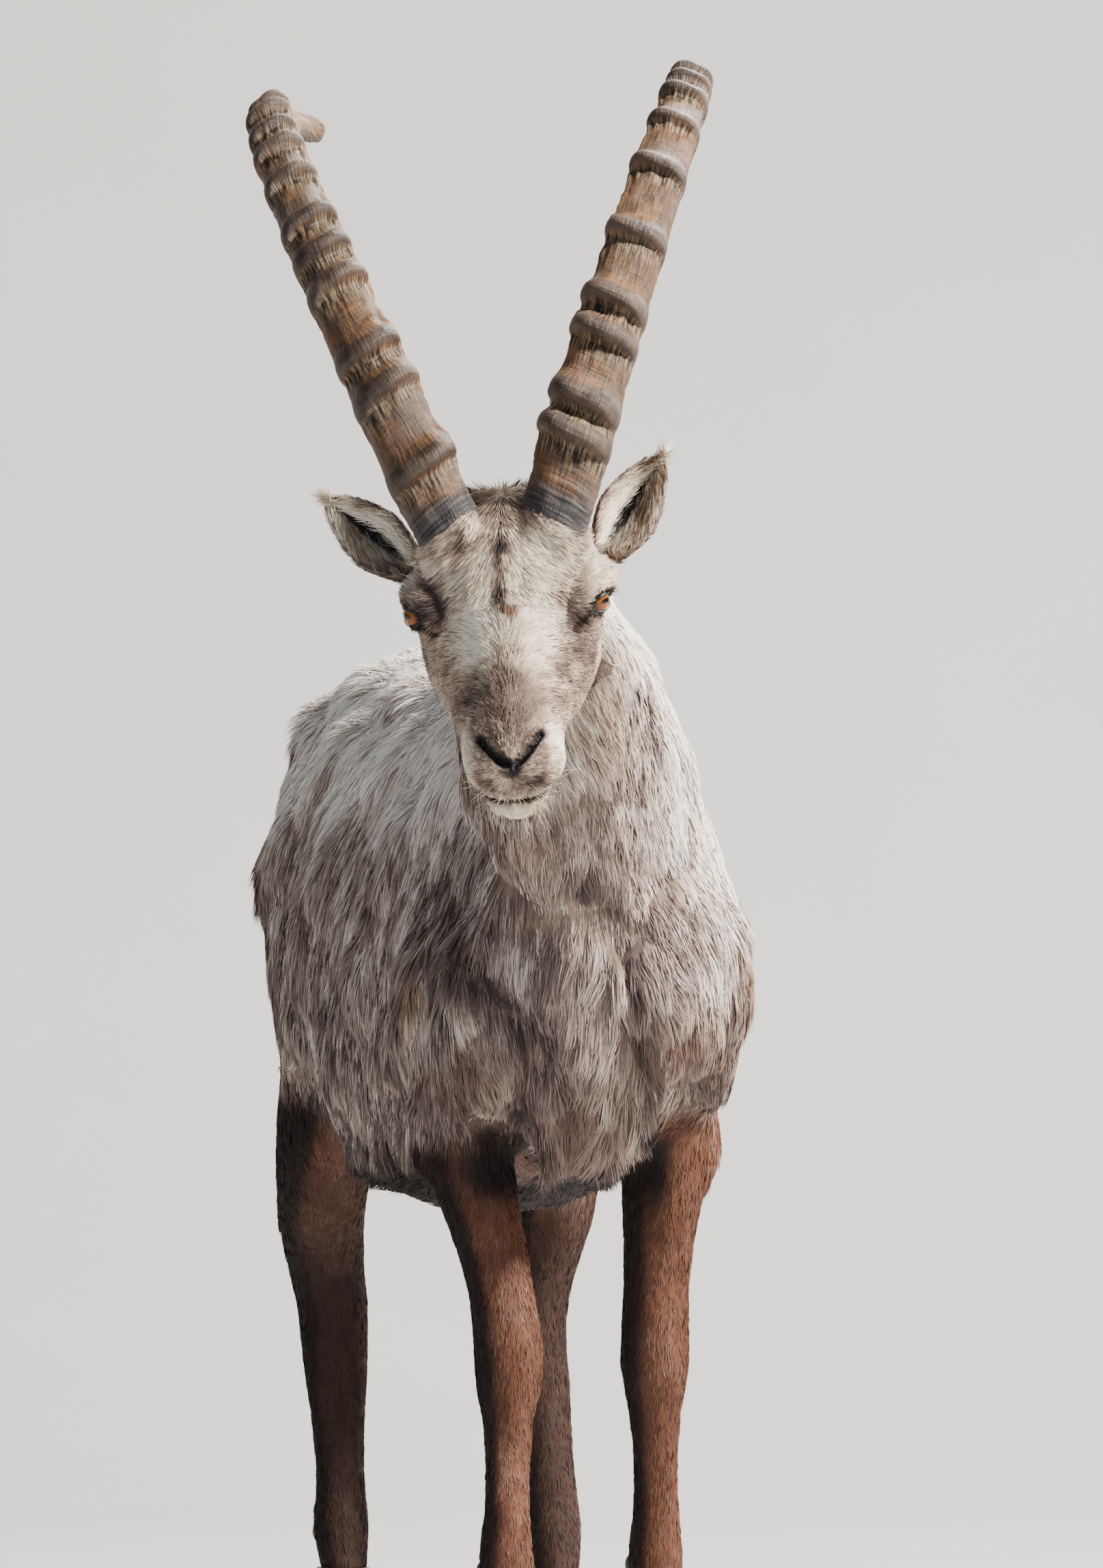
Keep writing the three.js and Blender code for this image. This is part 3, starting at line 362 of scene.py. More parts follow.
select_faces(face, muzzle_and_eyes)
bpy.ops.mesh.subdivide(number_cuts=1)
bpy.ops.object.mode_set(mode="OBJECT")
points = points_of(face)
normals = normals_of(face)
slit_lines = (NOSTRIL_LINE, MOUTH_LINE, PHILTRUM_LINE, TEAR_LINE)
slits = np.stack([away_from(points, line) for line in slit_lines], 1)
give(face, "slits", slits)
depth = 0
for deep, line, reach in FOLDS:
    depth = depth + deep * near(away_from(points, line), reach)
for high, middle, size in SWELLINGS:
    depth = depth - high * spot(in_head(points), middle, size)
points = points - normals * depth[:, None] / 1000
away, far = from_eye(points)
outside = ease(-0.8, 0.4, past_lids(points))
lidded = np.maximum(far, (EYE_RADIUS + 1.3) * ease(34, 24, far))
opened = np.minimum(far, EYE_RADIUS - 1.5)
reach = opened + (lidded - opened) * outside
reach = np.where(far < 34, reach, far)
centres = from_head(np.sign(in_head(points)[0]) * EYE_PLACE[0], EYE_PLACE[1], EYE_PLACE[2])
move_points(face, centres + (points - centres) * (reach / far)[:, None])

trunk_count = len(skin.data.vertices)
bpy.ops.object.select_all(action="DESELECT")
face.select_set(True)
skin.select_set(True)
bpy.context.view_layer.objects.active = skin
bpy.ops.object.join()
of_face = np.arange(len(skin.data.vertices)) >= trunk_count
slits = np.where(of_face[:, None], read(skin.data.attributes["slits"].data, "color", 4), FAR_OFF)


# The skin is drawn in, and painted in shade, where chest, neck and shoulders meet and in the neck's
# hollow: these lines are how far to the right and how high the viewer sees them.
CHEST_CREASE = [(-62, 604), (-44, 578), (-24, 548), (-17, 515), (-26, 480), (-30, 455)]
SHOULDER_CREASE = [(64, 622), (70, 590), (73, 556), (78, 500), (84, 470)]
NECK_HOLLOW = ((-92, 652), (26, 70))


def away_seen(points, line):
    """How far places lie from a line given as the viewer sees it, in millimetres."""
    return off_line(np.stack(seen(points), 1), line)


def in_front(points, normals):
    """1 on the trunk's and legs' surfaces that the viewer faces, 0 on the others and on the head."""
    faced = ease(-0.02, -0.35, normals @ np.array(view_ahead))
    return faced * ease(90, 40, in_body(points)[1]) * ease(10, -30, past_throat(points))


points = points_of(skin)
normals = normals_of(skin)
past = past_throat(points)
off = off_head(points)
depth = 9 * ease(430, 520, in_body(points)[2]) * ease(60, -10, past)
depth += 1.0 * ease(-10, 60, past) * ease(300, 240, in_head(points)[1])
depth += np.where(of_face, 19 * ease(0, 9, off) * ease(60, 40, past), 5 * ease(6, -2, off))
facing = in_front(points, normals)
depth += 13 * near(away_seen(points, CHEST_CREASE), 13) * facing
depth += 11 * near(away_seen(points, SHOULDER_CREASE), 9) * facing
depth += 10 * spot(seen(points), *NECK_HOLLOW) * facing
move_points(skin, points - normals * depth[:, None] / 1000)
bpy.ops.object.shade_smooth()
unwrap(skin)


# The lie of the hair
# On the face hair rises from the nose and runs down from the brow, and both turn outwards where they
# meet between the eyes. It runs back along the trunk, and hangs from neck, chest and shoulders.
NOSE_TIP = (0, 292, 6)
BARE_PAD = [(0, 287, 9), (0, 286, 11)]
WHORL = 138


def turned(lie, other, share):
    """One lie going over into another, as far as a share from 0 to 1 says."""
    return lie + (other - lie) * share[:, None]


def flattened(lie, normals):
    """The lie without what stands off the skin."""
    return unit(lie - np.sum(lie * normals, 1, keepdims=True) * normals)


def rows(x, y, z, count):
    """So many rows of three numbers, each of which is the same in all rows or given for each."""
    return np.stack([np.broadcast_to(np.asarray(v, float), count) for v in (x, y, z)], 1)


def on_legs(points):
    """1 on the legs and 0 on the trunk, then how near the legs' tops are, which differ in height."""
    back, height = in_body(points)[1:]
    shown = seen(points)[0]
    breast = ease(-25, -5, shown) * ease(92, 74, shown) * ease(0, -40, back)
    top = 482 + 28 * ease(74, 96, shown) * ease(200, 100, back) - 56 * breast + 24 * ease(560, 640, back)
    belly = ease(110, 170, back) * ease(650, 590, back)
    near_top = ease(top + 75, top + 5, height) * (1 - belly) * (1 - breast)
    return ease(top, top - 40, height) * (1 - belly), near_top


def coat_fields(points, normals, slits):
    """For each place the hair's lie, length, width, lift, gathering into locks, and how thick it grows."""
    side, nose, up = in_head(points)
    across, back, height = in_body(points)
    count = len(points)
    sign = np.sign(side)
    wide = np.abs(side)
    away = unit(np.stack([side - NOSE_TIP[0], NOSE_TIP[1] - nose, up - NOSE_TIP[2]], 1))
    spread = rows(sign * np.minimum(wide / 26, 1.2), 0, -np.minimum(wide / 42, 1.3), count)
    muzzle_lie = away + spread * (0.35 + 0.75 * ease(262, 200, nose))[:, None]
    brow_lie = rows(sign * np.minimum(0.25 + wide / 40, 1.3), wide / 110 - 0.9, -0.35 - wide / 80, count)
    brow_lie = turned(brow_lie, rows(sign * 0.5, 0.8, -0.5, count), ease(50, 72, wide))
    brow_lie = turned(brow_lie, rows(sign * 0.35, 1.0, -0.1, count), ease(36, 16, nose) * ease(62, 46, wide))
    head_lie = turned(unit(muzzle_lie), unit(brow_lie), ease(WHORL + 10, WHORL - 12, nose))
    outward, to_eye = from_eye(points)
    lids = np.where(to_eye < 40, past_lids(points), FAR_OFF)
    head_lie = turned(unit(head_lie), unit(outward), 0.9 * ease(9, 1, lids))
    chin_lie = rows(sign * 0.1, -0.5, -1.0, count)
    head_lie = turned(head_lie, chin_lie, ease(-27, -34, up) * ease(225, 250, nose))
    head_lie = unit(head_lie) @ HEAD_AXES.T

    flat = np.abs(normals[:, 0])
    front = ease(0.05, -0.65, normals[:, 1])
    under = ease(-0.45, -0.8, normals[:, 2])
    seen_at, seen_up = seen(points)
    lie = rows(0, 0.95 - 0.42 * flat, -0.62 * flat - 0.12, count)
    shoulder = ease(230, 60, back) * ease(840, 760, height)
    lie = turned(lie, rows(-0.1 * np.sign(across), 0.30, -0.95, count), shoulder)
    lie = turned(lie, rows(0, 0.35, -0.95, count), ease(620, 740, back) * ease(780, 660, height))
    lie = turned(lie, rows(0.10 * np.sign(across), 0, -1.0, count), front)
    lie = turned(lie, rows(0.2 * np.sign(across), 0.9, -0.25, count), under * ease(-220, -140, back))
    past = past_throat(points)
    neckness = ease(-30, 30, (back - 10) * -0.76 + (height - 905) * 0.65) * ease(10, -40, past)
    neck_lie = rows(0.42 * np.sign(normals[:, 0]) * flat + 0.08, 0.42 - 0.3 * front, -0.86, count)
    lie = turned(lie, neck_lie, neckness)
    rightward = 0.45 * spot((seen_at, seen_up), (-85, 530), (60, 80))
    rightward += 0.5 * spot((seen_at, seen_up), (125, 670), (60, 90))
    lie = lie + rightward[:, None] * np.array(view_right) * front[:, None]
    legness, near_legs = on_legs(points)
    lie = turned(lie, rows(0, 0.12, -1.0, count), legness)
    headness = ease(-45, 25, past)
    lie = turned(unit(lie), head_lie, headness)
    lie = flattened(lie, normals)

    tail = ease(885, 900, back) * ease(830, 800, height)
    length = 37 - 3 * front - 3 * neckness + 6 * ease(560, 480, height) * front
    length += 16 * spot((back, height), (0, 520), (170, 60)) * (1 - front)
    length += 6 * under
    length *= 1 - 0.55 * near_legs
    length += (56 - length) * tail
    length += (9 + 8 * ease(380, 480, height) - length) * legness
    on_face = 5.5 + 5 * ease(255, 200, nose) + 3 * spot((nose, up), (85, 74), (40, 40))
    on_face += 6 * ease(60, 36, nose) * ease(55, 40, wide)
    on_face += 8 * ease(-30, -60, up) * ease(235, 190, nose)
    on_face += 7 * spot((wide, nose, up), (0, 268, -62), (30, 34, 16))
    on_face *= 0.42 + 0.58 * ease(0, 16, lids)
    on_face *= 0.55 + 0.45 * ease(4, 14, slits[:, 1])
    on_face *= 0.50 + 0.50 * ease(6, 18, slits[:, 0])
    length += (on_face - length) * headness
    width = 1.12 + 0.35 * under * (1 - legness)
    width += (0.72 - width) * legness
    width += (0.61 - width) * headness
    lift = 0.12 + 0.03 * neckness + 0.10 * ease(0.4, 0.9, normals[:, 2]) * (1 - legness)
    lift += (0.09 - lift) * legness
    lift += (0.17 - 0.06 * ease(50, 20, nose) * ease(50, 30, wide) - lift) * headness
    gather = 0.6 * (1 - legness * 0.6) + 0.05 * neckness
    gather += (0.32 - gather) * headness
    hidden = ease(0.1, 0.5, normals @ np.array(view_ahead))
    thick = (182e3 + 22e3 * neckness) * (1 - 0.5 * hidden)
    width *= 1 + 0.45 * hidden * (1 - headness)
    thick += (225e3 - thick) * legness
    thick += (800e3 - thick) * headness
    bare = near(slits[:, :3], [4.4, 2.6, 2.0], 4).max(1)
    bare = np.maximum(bare, near(away_from(points, BARE_PAD), 6.5, 4))
    bare = np.maximum(bare, ease(1.8, 0.8, lids))
    thick *= np.clip(1 - bare * headness, 0, 1)
    return {
        "lie": lie,
        "length": length / 1000,
        "width": width / 1000,
        "lift": lift,
        "gather": gather,
        "thick": thick,
    }


# How the markings lie, and where light and shade are painted
# The winter coat goes from grey-brown at its roots to cream at its tips. Brow, nose and back are
# palest, the bridge of the nose mauve, the shoulders' fringes brown, haunches and legs chestnut.
# Painted light makes the upward-facing back and the neck's side towards the key lamp paler. Painted
# shade darkens creases, the neck's hollow, the belly's underside, the legs' far sides and round the right
# eye.
DARK_PAD = [(0, 287, 10), (0, 286, 12)]


def built_up(level, patches):
    """A level with patches added in turn: how strong each is, in which places, its middle and its size."""
    for strong, place, *form in patches:
        level = level + strong * spot(place, *form)
    return level


def strongest(*masks):
    """At each place, the strongest of some masks."""
    return np.max(np.broadcast_arrays(*masks), 0)


def strongest_of(patches):
    """At each place, the strongest of some patches, which are given as for built_up."""
    return strongest(*[strong * spot(place, *form) for strong, place, *form in patches])


def face_marks_and_shade(points, slits):
    """Tone from dark to cream, and brown, warm and black markings of the head, with painted shade by its
    right eye.
    """
    one = in_head(points)
    pair = (np.abs(one[0]), *one[1:])
    tone = [
        (0.36, pair, (0, 105, 70), (62, 58, 50)),
        (0.50, pair, (24, 165, 42), (21, 42, 30)),
        (0.25, one, (60, 80, 58), (20, 34, 26)),
        (0.58, pair, (38, 258, 0), (14, 28, 26)),
        (0.30, pair, (0, 283, 19), (13, 12, 8)),
        (0.50, pair, (0, 284, -40), (40, 26, 14)),
        (0.30, pair, (78, 104, 56), (16, 22, 9)),
        (0.12, pair, (62, 150, -20), (16, 40, 40)),
        (-0.55, one, (1, 84, 82), (5, 8, 10), 2),
        (-0.65, one, (-3, 128, 62), (4, 13, 10), 2),
        (-0.55, one, (3, 148, 54), (5, 9, 10), 2),
        (-0.35, one, (-2, 110, 70), (2.4, 44, 30), 2),
        # Painted shade round the right eye, on the side turned from the key lamp, over darker hair above its
        # inner corner.
        (-0.45, one, (-60, 100, 54), (9, 18, 12)),
        (-0.45, one, (-49, 120, 48), (6, 16, 10)),
        (-0.40, one, (-62, 126, 44), (9, 10, 9)),
        (-0.25, one, (-30, 82, 80), (12, 8, 16)),
        (-0.34, pair, (17, 289, -3), (9, 10, 6), 2),
        (-0.20, one, (-26, 206, 30), (8, 20, 12)),
        (-0.15, pair, (31, 20, 70), (16, 26, 26)),
        (0.30, pair, (0, 16, 78), (34, 34, 30)),
    ]
    brown = [
        (0.95, one, (3, 230, 33), (28, 34, 30), 2),
        (0.55, pair, (64, 165, -8), (22, 56, 40)),
        (0.35, one, (24, 78, 78), (24, 30, 20)),
        (0.7, one, (36, 214, 16), (8, 14, 12)),
        (0.5, one, (38, 134, 48), (12, 10, 12)),
        (0.4, one, (20, 112, 66), (12, 24, 12)),
        (0.45, pair, (74, 78, 44), (18, 26, 22)),
        (0.22, pair, (0, 26, 80), (30, 20, 24)),
    ]
    warm = [
        (0.5, pair, (0, 24, 80), (32, 34, 24)),
        (0.30, pair, (60, 160, -20), (22, 50, 30)),
        (0.35, one, (20, 160, 44), (12, 30, 14)),
        (0.5, one, (5, 146, 54), (8, 12, 10)),
        (0.12, one, (3, 250, 30), (26, 14, 14)),
    ]
    lids = np.where(from_eye(points)[1] < 40, past_lids(points), FAR_OFF)
    dark = strongest(
        near(slits, [4.6, 4.3, 2.2, 3.2], 4).max(1),
        near(away_from(points, DARK_PAD), 8.5, 4),
        0.97 * ease(3.4, 1.6, lids),
    )
    return np.stack([built_up(0.46, tone), strongest_of(brown), strongest_of(warm), dark], 1)


def body_marks_and_shade(points, normals):
    """Tone from dark to cream, brown, warm and black markings, and painted light and shade of neck, trunk,
    legs and tail.
    """
    back, height = in_body(points)[1:]
    shown = seen(points)
    facing = in_front(points, normals)
    leg = on_legs(points)[0]
    chest = facing * (1 - leg)
    flank = ease(120, 60, back)
    # Painted light: hair on the upper body that faces up is painted paler, as lit from above, over the
    # back's pale hair.
    tone = 0.55 + 0.55 * ease(0.05, 0.60, normals[:, 2]) * ease(690, 780, height)
    tone = built_up(tone, [
        # Painted light: the side of the neck at the viewer's right, which faces the key lamp, is painted
        # paler.
        (0.50 * ease(60, -60, back), shown, (148, 790), (54, 130), 2),
        (0.22 * flank, shown, (-112, 730), (26, 80)),
        (0.26 * chest, shown, (-84, 560), (30, 42)),
        (0.16 * chest, shown, (50, 545), (16, 40)),
        (0.10 * chest, shown, (150, 620), (34, 70)),
        # Painted shade in the hollow between neck and shoulder.
        (-0.22 * ease(60, 0, back), shown, *NECK_HOLLOW),
    ])
    # Painted shade along the creases of chest and shoulder.
    tone -= chest * 0.22 * near(away_seen(points, CHEST_CREASE), 16)
    tone -= chest * 0.16 * near(away_seen(points, SHOULDER_CREASE), 14)
    # Painted shade: the trunk is darker towards its bottom.
    tone -= 0.25 * ease(480, 400, height) * (1 - leg)
    brown = strongest_of([
        (0.85 * chest, shown, (-84, 518), (62, 50)),
        (0.80 * chest, shown, (30, 476), (60, 54)),
        (0.85 * chest, shown, (118, 542), (56, 48)),
    ])
    brown = strongest(brown, 0.85 * ease(640, 740, back) * ease(760, 640, height), leg)
    warm = strongest_of([
        (0.50 * chest, shown, (-124, 572), (30, 60)),
        (0.40 * chest, shown, (-84, 518), (62, 48)),
        (0.45 * chest, shown, (122, 548), (60, 52)),
        (0.45 * flank, shown, (168, 590), (34, 74)),
        (0.35 * chest, shown, (30, 462), (56, 40)),
        (0.45 * chest, shown, (-20, 715), (30, 20)),
    ])
    # How far the legs' sides turn from the viewer and towards the viewer's left, where painted shade goes.
    shade_facing_away = ease(0.1, 0.6, normals @ np.array(view_ahead))
    shade_facing_left = ease(0.15, 0.75, -(normals @ np.array(view_right)))
    # Painted shade under the belly: hair facing down low on the trunk, and all hair lowest on it.
    under = strongest(
        0.8 * ease(-0.15, -0.6, normals[:, 2]) * ease(500, 440, height), 0.75 * ease(440, 415, height)
    )
    dark = strongest(
        # Painted shade on the hind legs, low under the body.
        0.66 * leg * ease(150, 500, back) * ease(560, 300, height),
        # Painted shade on the legs' sides turned from the viewer and from the key lamp.
        0.75 * leg * shade_facing_away,
        0.82 * leg * shade_facing_left,
        # Painted shade between and beside the forelegs, under the brisket.
        0.9 * spot(shown, (-46, 434), (40, 36), 2) * ease(60, 0, back),
        0.9 * spot(shown, (88, 440), (15, 50), 2) * ease(90, 40, back),
        # Painted shade in the creases of chest and shoulder.
        chest * 0.30 * near(away_seen(points, CHEST_CREASE), 8),
        chest * 0.20 * near(away_seen(points, SHOULDER_CREASE), 7),
        0.85 * ease(890, 905, back) * ease(800, 760, height),
        # Painted shade under the belly.
        under * (1 - leg) * ease(0, 130, back),
    )
    return np.stack([tone, brown, strongest(warm, 0.8 * leg), dark], 1)


def marks_and_shade_at(points, normals, slits):
    blend = ease(-30, 30, past_throat(points))[:, None]
    marks_and_shade = blend * face_marks_and_shade(points, slits) + (1 - blend) * body_marks_and_shade(points, normals)
    place = in_body(points)
    wisps = built_up(0, [
        (1, place, (-38, -294, 822), (24, 60, 66)),
        (1, place, (-22, -306, 888), (20, 40, 30)),
    ])
    marks_and_shade[:, 0] += 0.18 * wisps
    marks_and_shade[:, 2] = np.maximum(marks_and_shade[:, 2], 0.42 * np.minimum(wisps, 1))
    return np.clip(marks_and_shade, 0, 1)


def nearest_of(middles, points):
    """Which of the middles is nearest to each place."""
    tree = KDTree(len(middles))
    for i, middle in enumerate(middles):
        tree.insert(middle, i)
    tree.balance()
    return np.array([tree.find(place)[1] for place in points])


def along_lie(points, lie):
    """Places drawn together along the lie towards middles of locks, so that patterns on them are streaks."""
    middles = points[np.random.default_rng(3).choice(len(points), max(len(points) // 150, 1), replace=False)]
    nearest = middles[nearest_of(middles, points)]
    return points - BODY_AT - 0.75 * np.sum((points - nearest) * lie, 1, keepdims=True) * lie


class Flow:
    """A socket of a material that can be added, multiplied and so on as a number."""

    tree = None

    def __init__(self, socket):
        self.socket = socket

    @classmethod
    def node(cls, kind, out=0, settings=None, stops=None, **inputs):
        made = cls.tree.nodes.new(kind)
        for key, value in (settings or {}).items():
            setattr(made, key, value)
        if stops:
            ends = made.color_ramp.elements
            for stop, (at, colour) in ((ends[0], stops[0]), (ends[1], stops[-1])):
                stop.position = at
                stop.color = (*colour, 1)
            for at, colour in stops[1:-1]:
                ends.new(at).color = (*colour, 1)
        for key, value in inputs.items():
            socket = made.inputs[int(key[1:]) if key[1:].isdigit() else key.replace("_", " ")]
            if isinstance(value, Flow):
                cls.tree.links.new(value.socket, socket)
            else:
                socket.default_value = value
        return cls(made.outputs[out])

    def between(self, low, high):
        soft = {"interpolation_type": "SMOOTHSTEP"}
        return Flow.node("ShaderNodeMapRange", settings=soft, i0=self, i1=low, i2=high)

    def part(self, axis):
        return Flow.node("ShaderNodeSeparateXYZ", out=axis, i0=self)

    def noise(self, scale, detail=2.0, rough=0.5):
        return Flow.node("ShaderNodeTexNoise", Vector=self, Scale=scale, Detail=detail, Roughness=rough)

    def ramp(self, *stops):
        return Flow.node("ShaderNodeValToRGB", stops=stops, i0=self)


def reckoning(operation, swapped):
    def reckon(self, other):
        first, second = (other, self) if swapped else (self, other)
        return Flow.node("ShaderNodeMath", settings={"operation": operation}, i0=first, i1=second)

    return reckon


SIGNS = {"add": "ADD", "sub": "SUBTRACT", "mul": "MULTIPLY", "truediv": "DIVIDE", "pow": "POWER"}
for sign, operation in SIGNS.items():
    setattr(Flow, f"__{sign}__", reckoning(operation, False))
    setattr(Flow, f"__r{sign}__", reckoning(operation, True))


def tinted(mask, under, over):
    """One colour over another, as far as a mask says."""
    under, over = (value if isinstance(value, Flow) else (*value, 1) for value in (under, over))
    return Flow.node("ShaderNodeMix", out=2, settings={"data_type": "RGBA"}, i0=mask, i6=under, i7=over)


def shaded(colour, light):
    """A colour made lighter or darker by a number."""
    return Flow.node("ShaderNodeVectorMath", settings={"operation": "SCALE"}, i0=colour, i3=light)


def bumpy(relief, strength, deep):
    """The surface's direction, tilted by a relief so many metres deep."""
    return Flow.node("ShaderNodeBump", Strength=strength, Distance=deep, Height=relief)


def object_place():
    return Flow.node("ShaderNodeTexCoord", out=3)


def stretched(place, by):
    return Flow.node("ShaderNodeMapping", i0=place, i3=by)


def paired(across, along):
    return Flow.node("ShaderNodeCombineXYZ", i0=across, i1=along, i2=0.0)


def material(name, paint, roughness=0.6, **fixed):
    """A new material whose colour, roughness and relief come from a function."""
    made = bpy.data.materials.new(name)
    made.use_nodes = True
    Flow.tree = made.node_tree
    surface = made.node_tree.nodes["Principled BSDF"]
    surface.inputs["Roughness"].default_value = roughness
    for key, value in fixed.items():
        surface.inputs[key.replace("_", " ")].default_value = value
    for key, value in paint().items():
        made.node_tree.links.new(value.socket, surface.inputs[key])
    return made


ROOTS_TO_TIPS = [
    (0.0, (0.030, 0.024, 0.025)),
    (0.25, (0.088, 0.060, 0.051)),
    (0.5, (0.250, 0.172, 0.134)),
    (0.72, (0.56, 0.438, 0.335)),
    (1.0, (0.94, 0.865, 0.715)),
]
MAUVE = (0.160, 0.104, 0.087)
CHESTNUT = (0.125, 0.034, 0.0095)
RUST = (0.36, 0.175, 0.075)
# Near black, for black markings and for painted shade.
BLACK_AND_SHADE = (0.010, 0.008, 0.009)


def attribute(name, out):
    return Flow.node("ShaderNodeAttribute", out=out, settings={"attribute_name": name})


def coat_paint(relief, cast=(1.0, 1.0, 1.0)):
    """Colours of the hair, with streaks along its lie, a shade of each tuft's own, and a colour cast."""
    # Tone carries painted light and shade besides the markings, and dark carries painted shade besides black
    # markings.
    marks_and_shade = Flow.node("ShaderNodeSeparateColor", i0=attribute("marks_and_shade", 0)).socket.node
    tone, brown, warm = (Flow(marks_and_shade.outputs[i]) for i in range(3))
    dark = attribute("marks_and_shade", 3)
    strand = attribute("strand", 1)
    along, chance, clump = (strand.part(i) for i in range(3))
    lay = attribute("lay", 1)
    streaks = lay.noise(95.0, 3.0, 0.6)
    patches = lay.noise(19.0, 2.0, 0.5)
    uneven = (streaks - 0.5) * 0.85 + (patches - 0.5) * 1.05
    uneven = uneven + (clump - 0.5) * 0.20 + (chance - 0.5) * 0.27
    value = tone + uneven * (1.2 - tone * 0.4) + (along - 0.55) * 0.20
    ramp = value.ramp(*ROOTS_TO_TIPS)
    colour = Flow.node("ShaderNodeVectorMath", settings={"operation": "MULTIPLY"}, i0=ramp, i1=cast)
    hue = tinted(warm, MAUVE, CHESTNUT)
    coloured = shaded(hue, 0.45 + 1.1 * (0.5 + uneven * 0.75) + 0.35 * (along - 0.5))
    colour = tinted((brown * (0.85 + 0.5 * (chance - 0.5))).between(0.12, 0.95), colour, coloured)
    rusty = (warm * (1.0 - brown) * (0.55 + 0.9 * chance)).between(0.10, 1.0)
    colour = tinted(rusty, colour, shaded(RUST, 0.5 + 0.8 * (0.5 + uneven)))
    # The dark channel holds black markings and painted shade; both are mixed to near black here.
    colour = tinted(dark.between(0.02, 0.98), colour, BLACK_AND_SHADE)
    colour = shaded(colour, 0.86 + 0.18 * along)
    looks = {"Base Color": colour, "Roughness": 0.68 - 0.22 * warm * brown + 0.2 * dark}
    if relief:
        grain = stretched(object_place(), (900, 900, 260)).noise(1.0, 2.0, 0.6)
        looks["Normal"] = bumpy(grain, 0.5, 0.0015)
        looks["Roughness"] = 0.85 - 0.62 * dark.between(0.93, 0.99)
    return looks


def give_looks(piece, marks_and_shade, strand, lay):
    """Stores what coat_paint reads: markings with painted light and shade, where along which hair a point
    is, and its streaks' place.
    """
    give(piece, "marks_and_shade", marks_and_shade)
    give(piece, "strand", strand)
    give(piece, "lay", lay)


BODY_CAST = (0.93, 0.97, 1.10)
HAIR_SHEEN = 0.18
SKIN_STRAND = [0.1, 0.4, 0.4]
hide_finish = material("hide_finish", lambda: coat_paint(True), Specular_IOR_Level=0.3)
face_hair_finish = material("face_hair_finish", lambda: coat_paint(False), Specular_IOR_Level=HAIR_SHEEN)
body_hair_finish = material(
    "body_hair_finish", lambda: coat_paint(False, BODY_CAST), Specular_IOR_Level=HAIR_SHEEN
)

points = points_of(skin)
normals = normals_of(skin)
fields = coat_fields(points, normals, slits)
fields["lay"] = along_lie(points, fields["lie"])

# Hair grows on the trunk's skin only outside the head, and on the face's only near the head.
ahead = past_throat(points) > 60
off = off_head(points)
fields["thick"] *= np.where(of_face, np.maximum(ease(12, 7, off), ahead), ease(-3, 2, off) * ~ahead)
marks_and_shade = marks_and_shade_at(points, normals, slits)
give_looks(skin, marks_and_shade, np.tile(SKIN_STRAND, (len(points), 1)), fields["lay"])
skin.data.materials.clear()
skin.data.materials.append(hide_finish)
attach(skin, "root")
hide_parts("head", *trunk_nodes)


# The ears
# Each ear is a leaf of gristle rolled into a cup, open to the front and side, thin at its tip. Its
# back is grey-brown, and inside a black stripe lies between a white band and silvery hair.
EAR = {"side": 81, "nose": 20, "up": 8, "length": 101, "half": 25, "back": 0.3}
EAR_LIFT = {"left": 56, "right": 43}
SIDES = {"left": 1, "right": -1}


def level_in_head(direction):
    """A direction given as if the head were level, in the head's own frame."""
    rise, run = math.sin(math.radians(HEAD_PITCH)), math.cos(math.radians(HEAD_PITCH))
    x, y, z = direction
    return np.array([x, y * run + z * rise, z * run - y * rise])


def laid_grid(name, columns, rows, place, closed=True):
    """A grid laid onto a surface, closed if asked. Each point keeps its shares across and along."""
    bpy.ops.mesh.primitive_grid_add(x_subdivisions=columns, y_subdivisions=rows, size=2)
    piece = bpy.context.object
    piece.name = name
    flat = (points_of(piece) + 1) / 2
    give(piece, "share", flat)
    move_points(piece, place(flat[:, 0], flat[:, 1]))
    bpy.ops.object.mode_set(mode="EDIT")
    bpy.ops.mesh.select_all(action="SELECT")
    if closed:
        bpy.ops.mesh.remove_doubles(threshold=0.00002)
        bpy.ops.mesh.fill_holes(sides=0)
        bpy.ops.mesh.normals_make_consistent(inside=False)
    bpy.ops.object.mode_set(mode="OBJECT")
    bpy.ops.object.shade_smooth()
    return piece


def shares_of(piece):
    return read(piece.data.attributes["share"].data, "vector").T[:2]


def ear_frame(hand):
    """The ear's axes in the head: to its tip, the way that its opening faces, and across it."""
    side = SIDES[hand]
    lift = math.radians(EAR_LIFT[hand])
    axis = unit(level_in_head((side * math.cos(lift), EAR["back"], math.sin(lift))))
    facing = level_in_head((side * 0.25, -1, 0.15))
    facing = unit(facing - (facing @ axis) * axis)
    sideways = np.cross(axis, facing)
    return axis, facing, sideways * (1 if sideways @ level_in_head((0, 0, 1)) > 0 else -1)


def ear_point(hand, around, along):
    """A place on the ear: round its thin section from rim to rim and back, and along to its tip."""
    axis, facing, sideways = ear_frame(hand)
    root = np.array([SIDES[hand] * EAR["side"], -EAR["nose"], EAR["up"]]) - level_in_head((0, 0, 9))
    across = -np.cos(around * 2 * np.pi)
    layer = np.sin(around * 2 * np.pi)
    depth = (2.2 - 1.2 * along) * np.sign(layer) * np.abs(layer) ** 0.5
    leaf = np.sin(np.pi * np.minimum(0.17 + along * 0.83, 0.995)) ** 0.62
    half = EAR["half"] * leaf * (0.72 + 0.28 * np.minimum(along * 2.5, 1))
    roll = 2.05 + (0.8 - 2.05) * np.minimum(along * 1.15, 1)
    bow = half / np.sin(np.minimum(roll, np.pi / 2))
    turn = across * roll
    reach = along * EAR["length"] - 6 * (1 - np.cos(turn)) * along
    middle = root + reach[:, None] * axis + (bow * 0.35 + 10 * along**2 - 3)[:, None] * facing
    radial = np.sin(turn)[:, None] * sideways - np.cos(turn)[:, None] * facing
    place = middle + (bow + depth)[:, None] * radial
    return out_of_head(place)


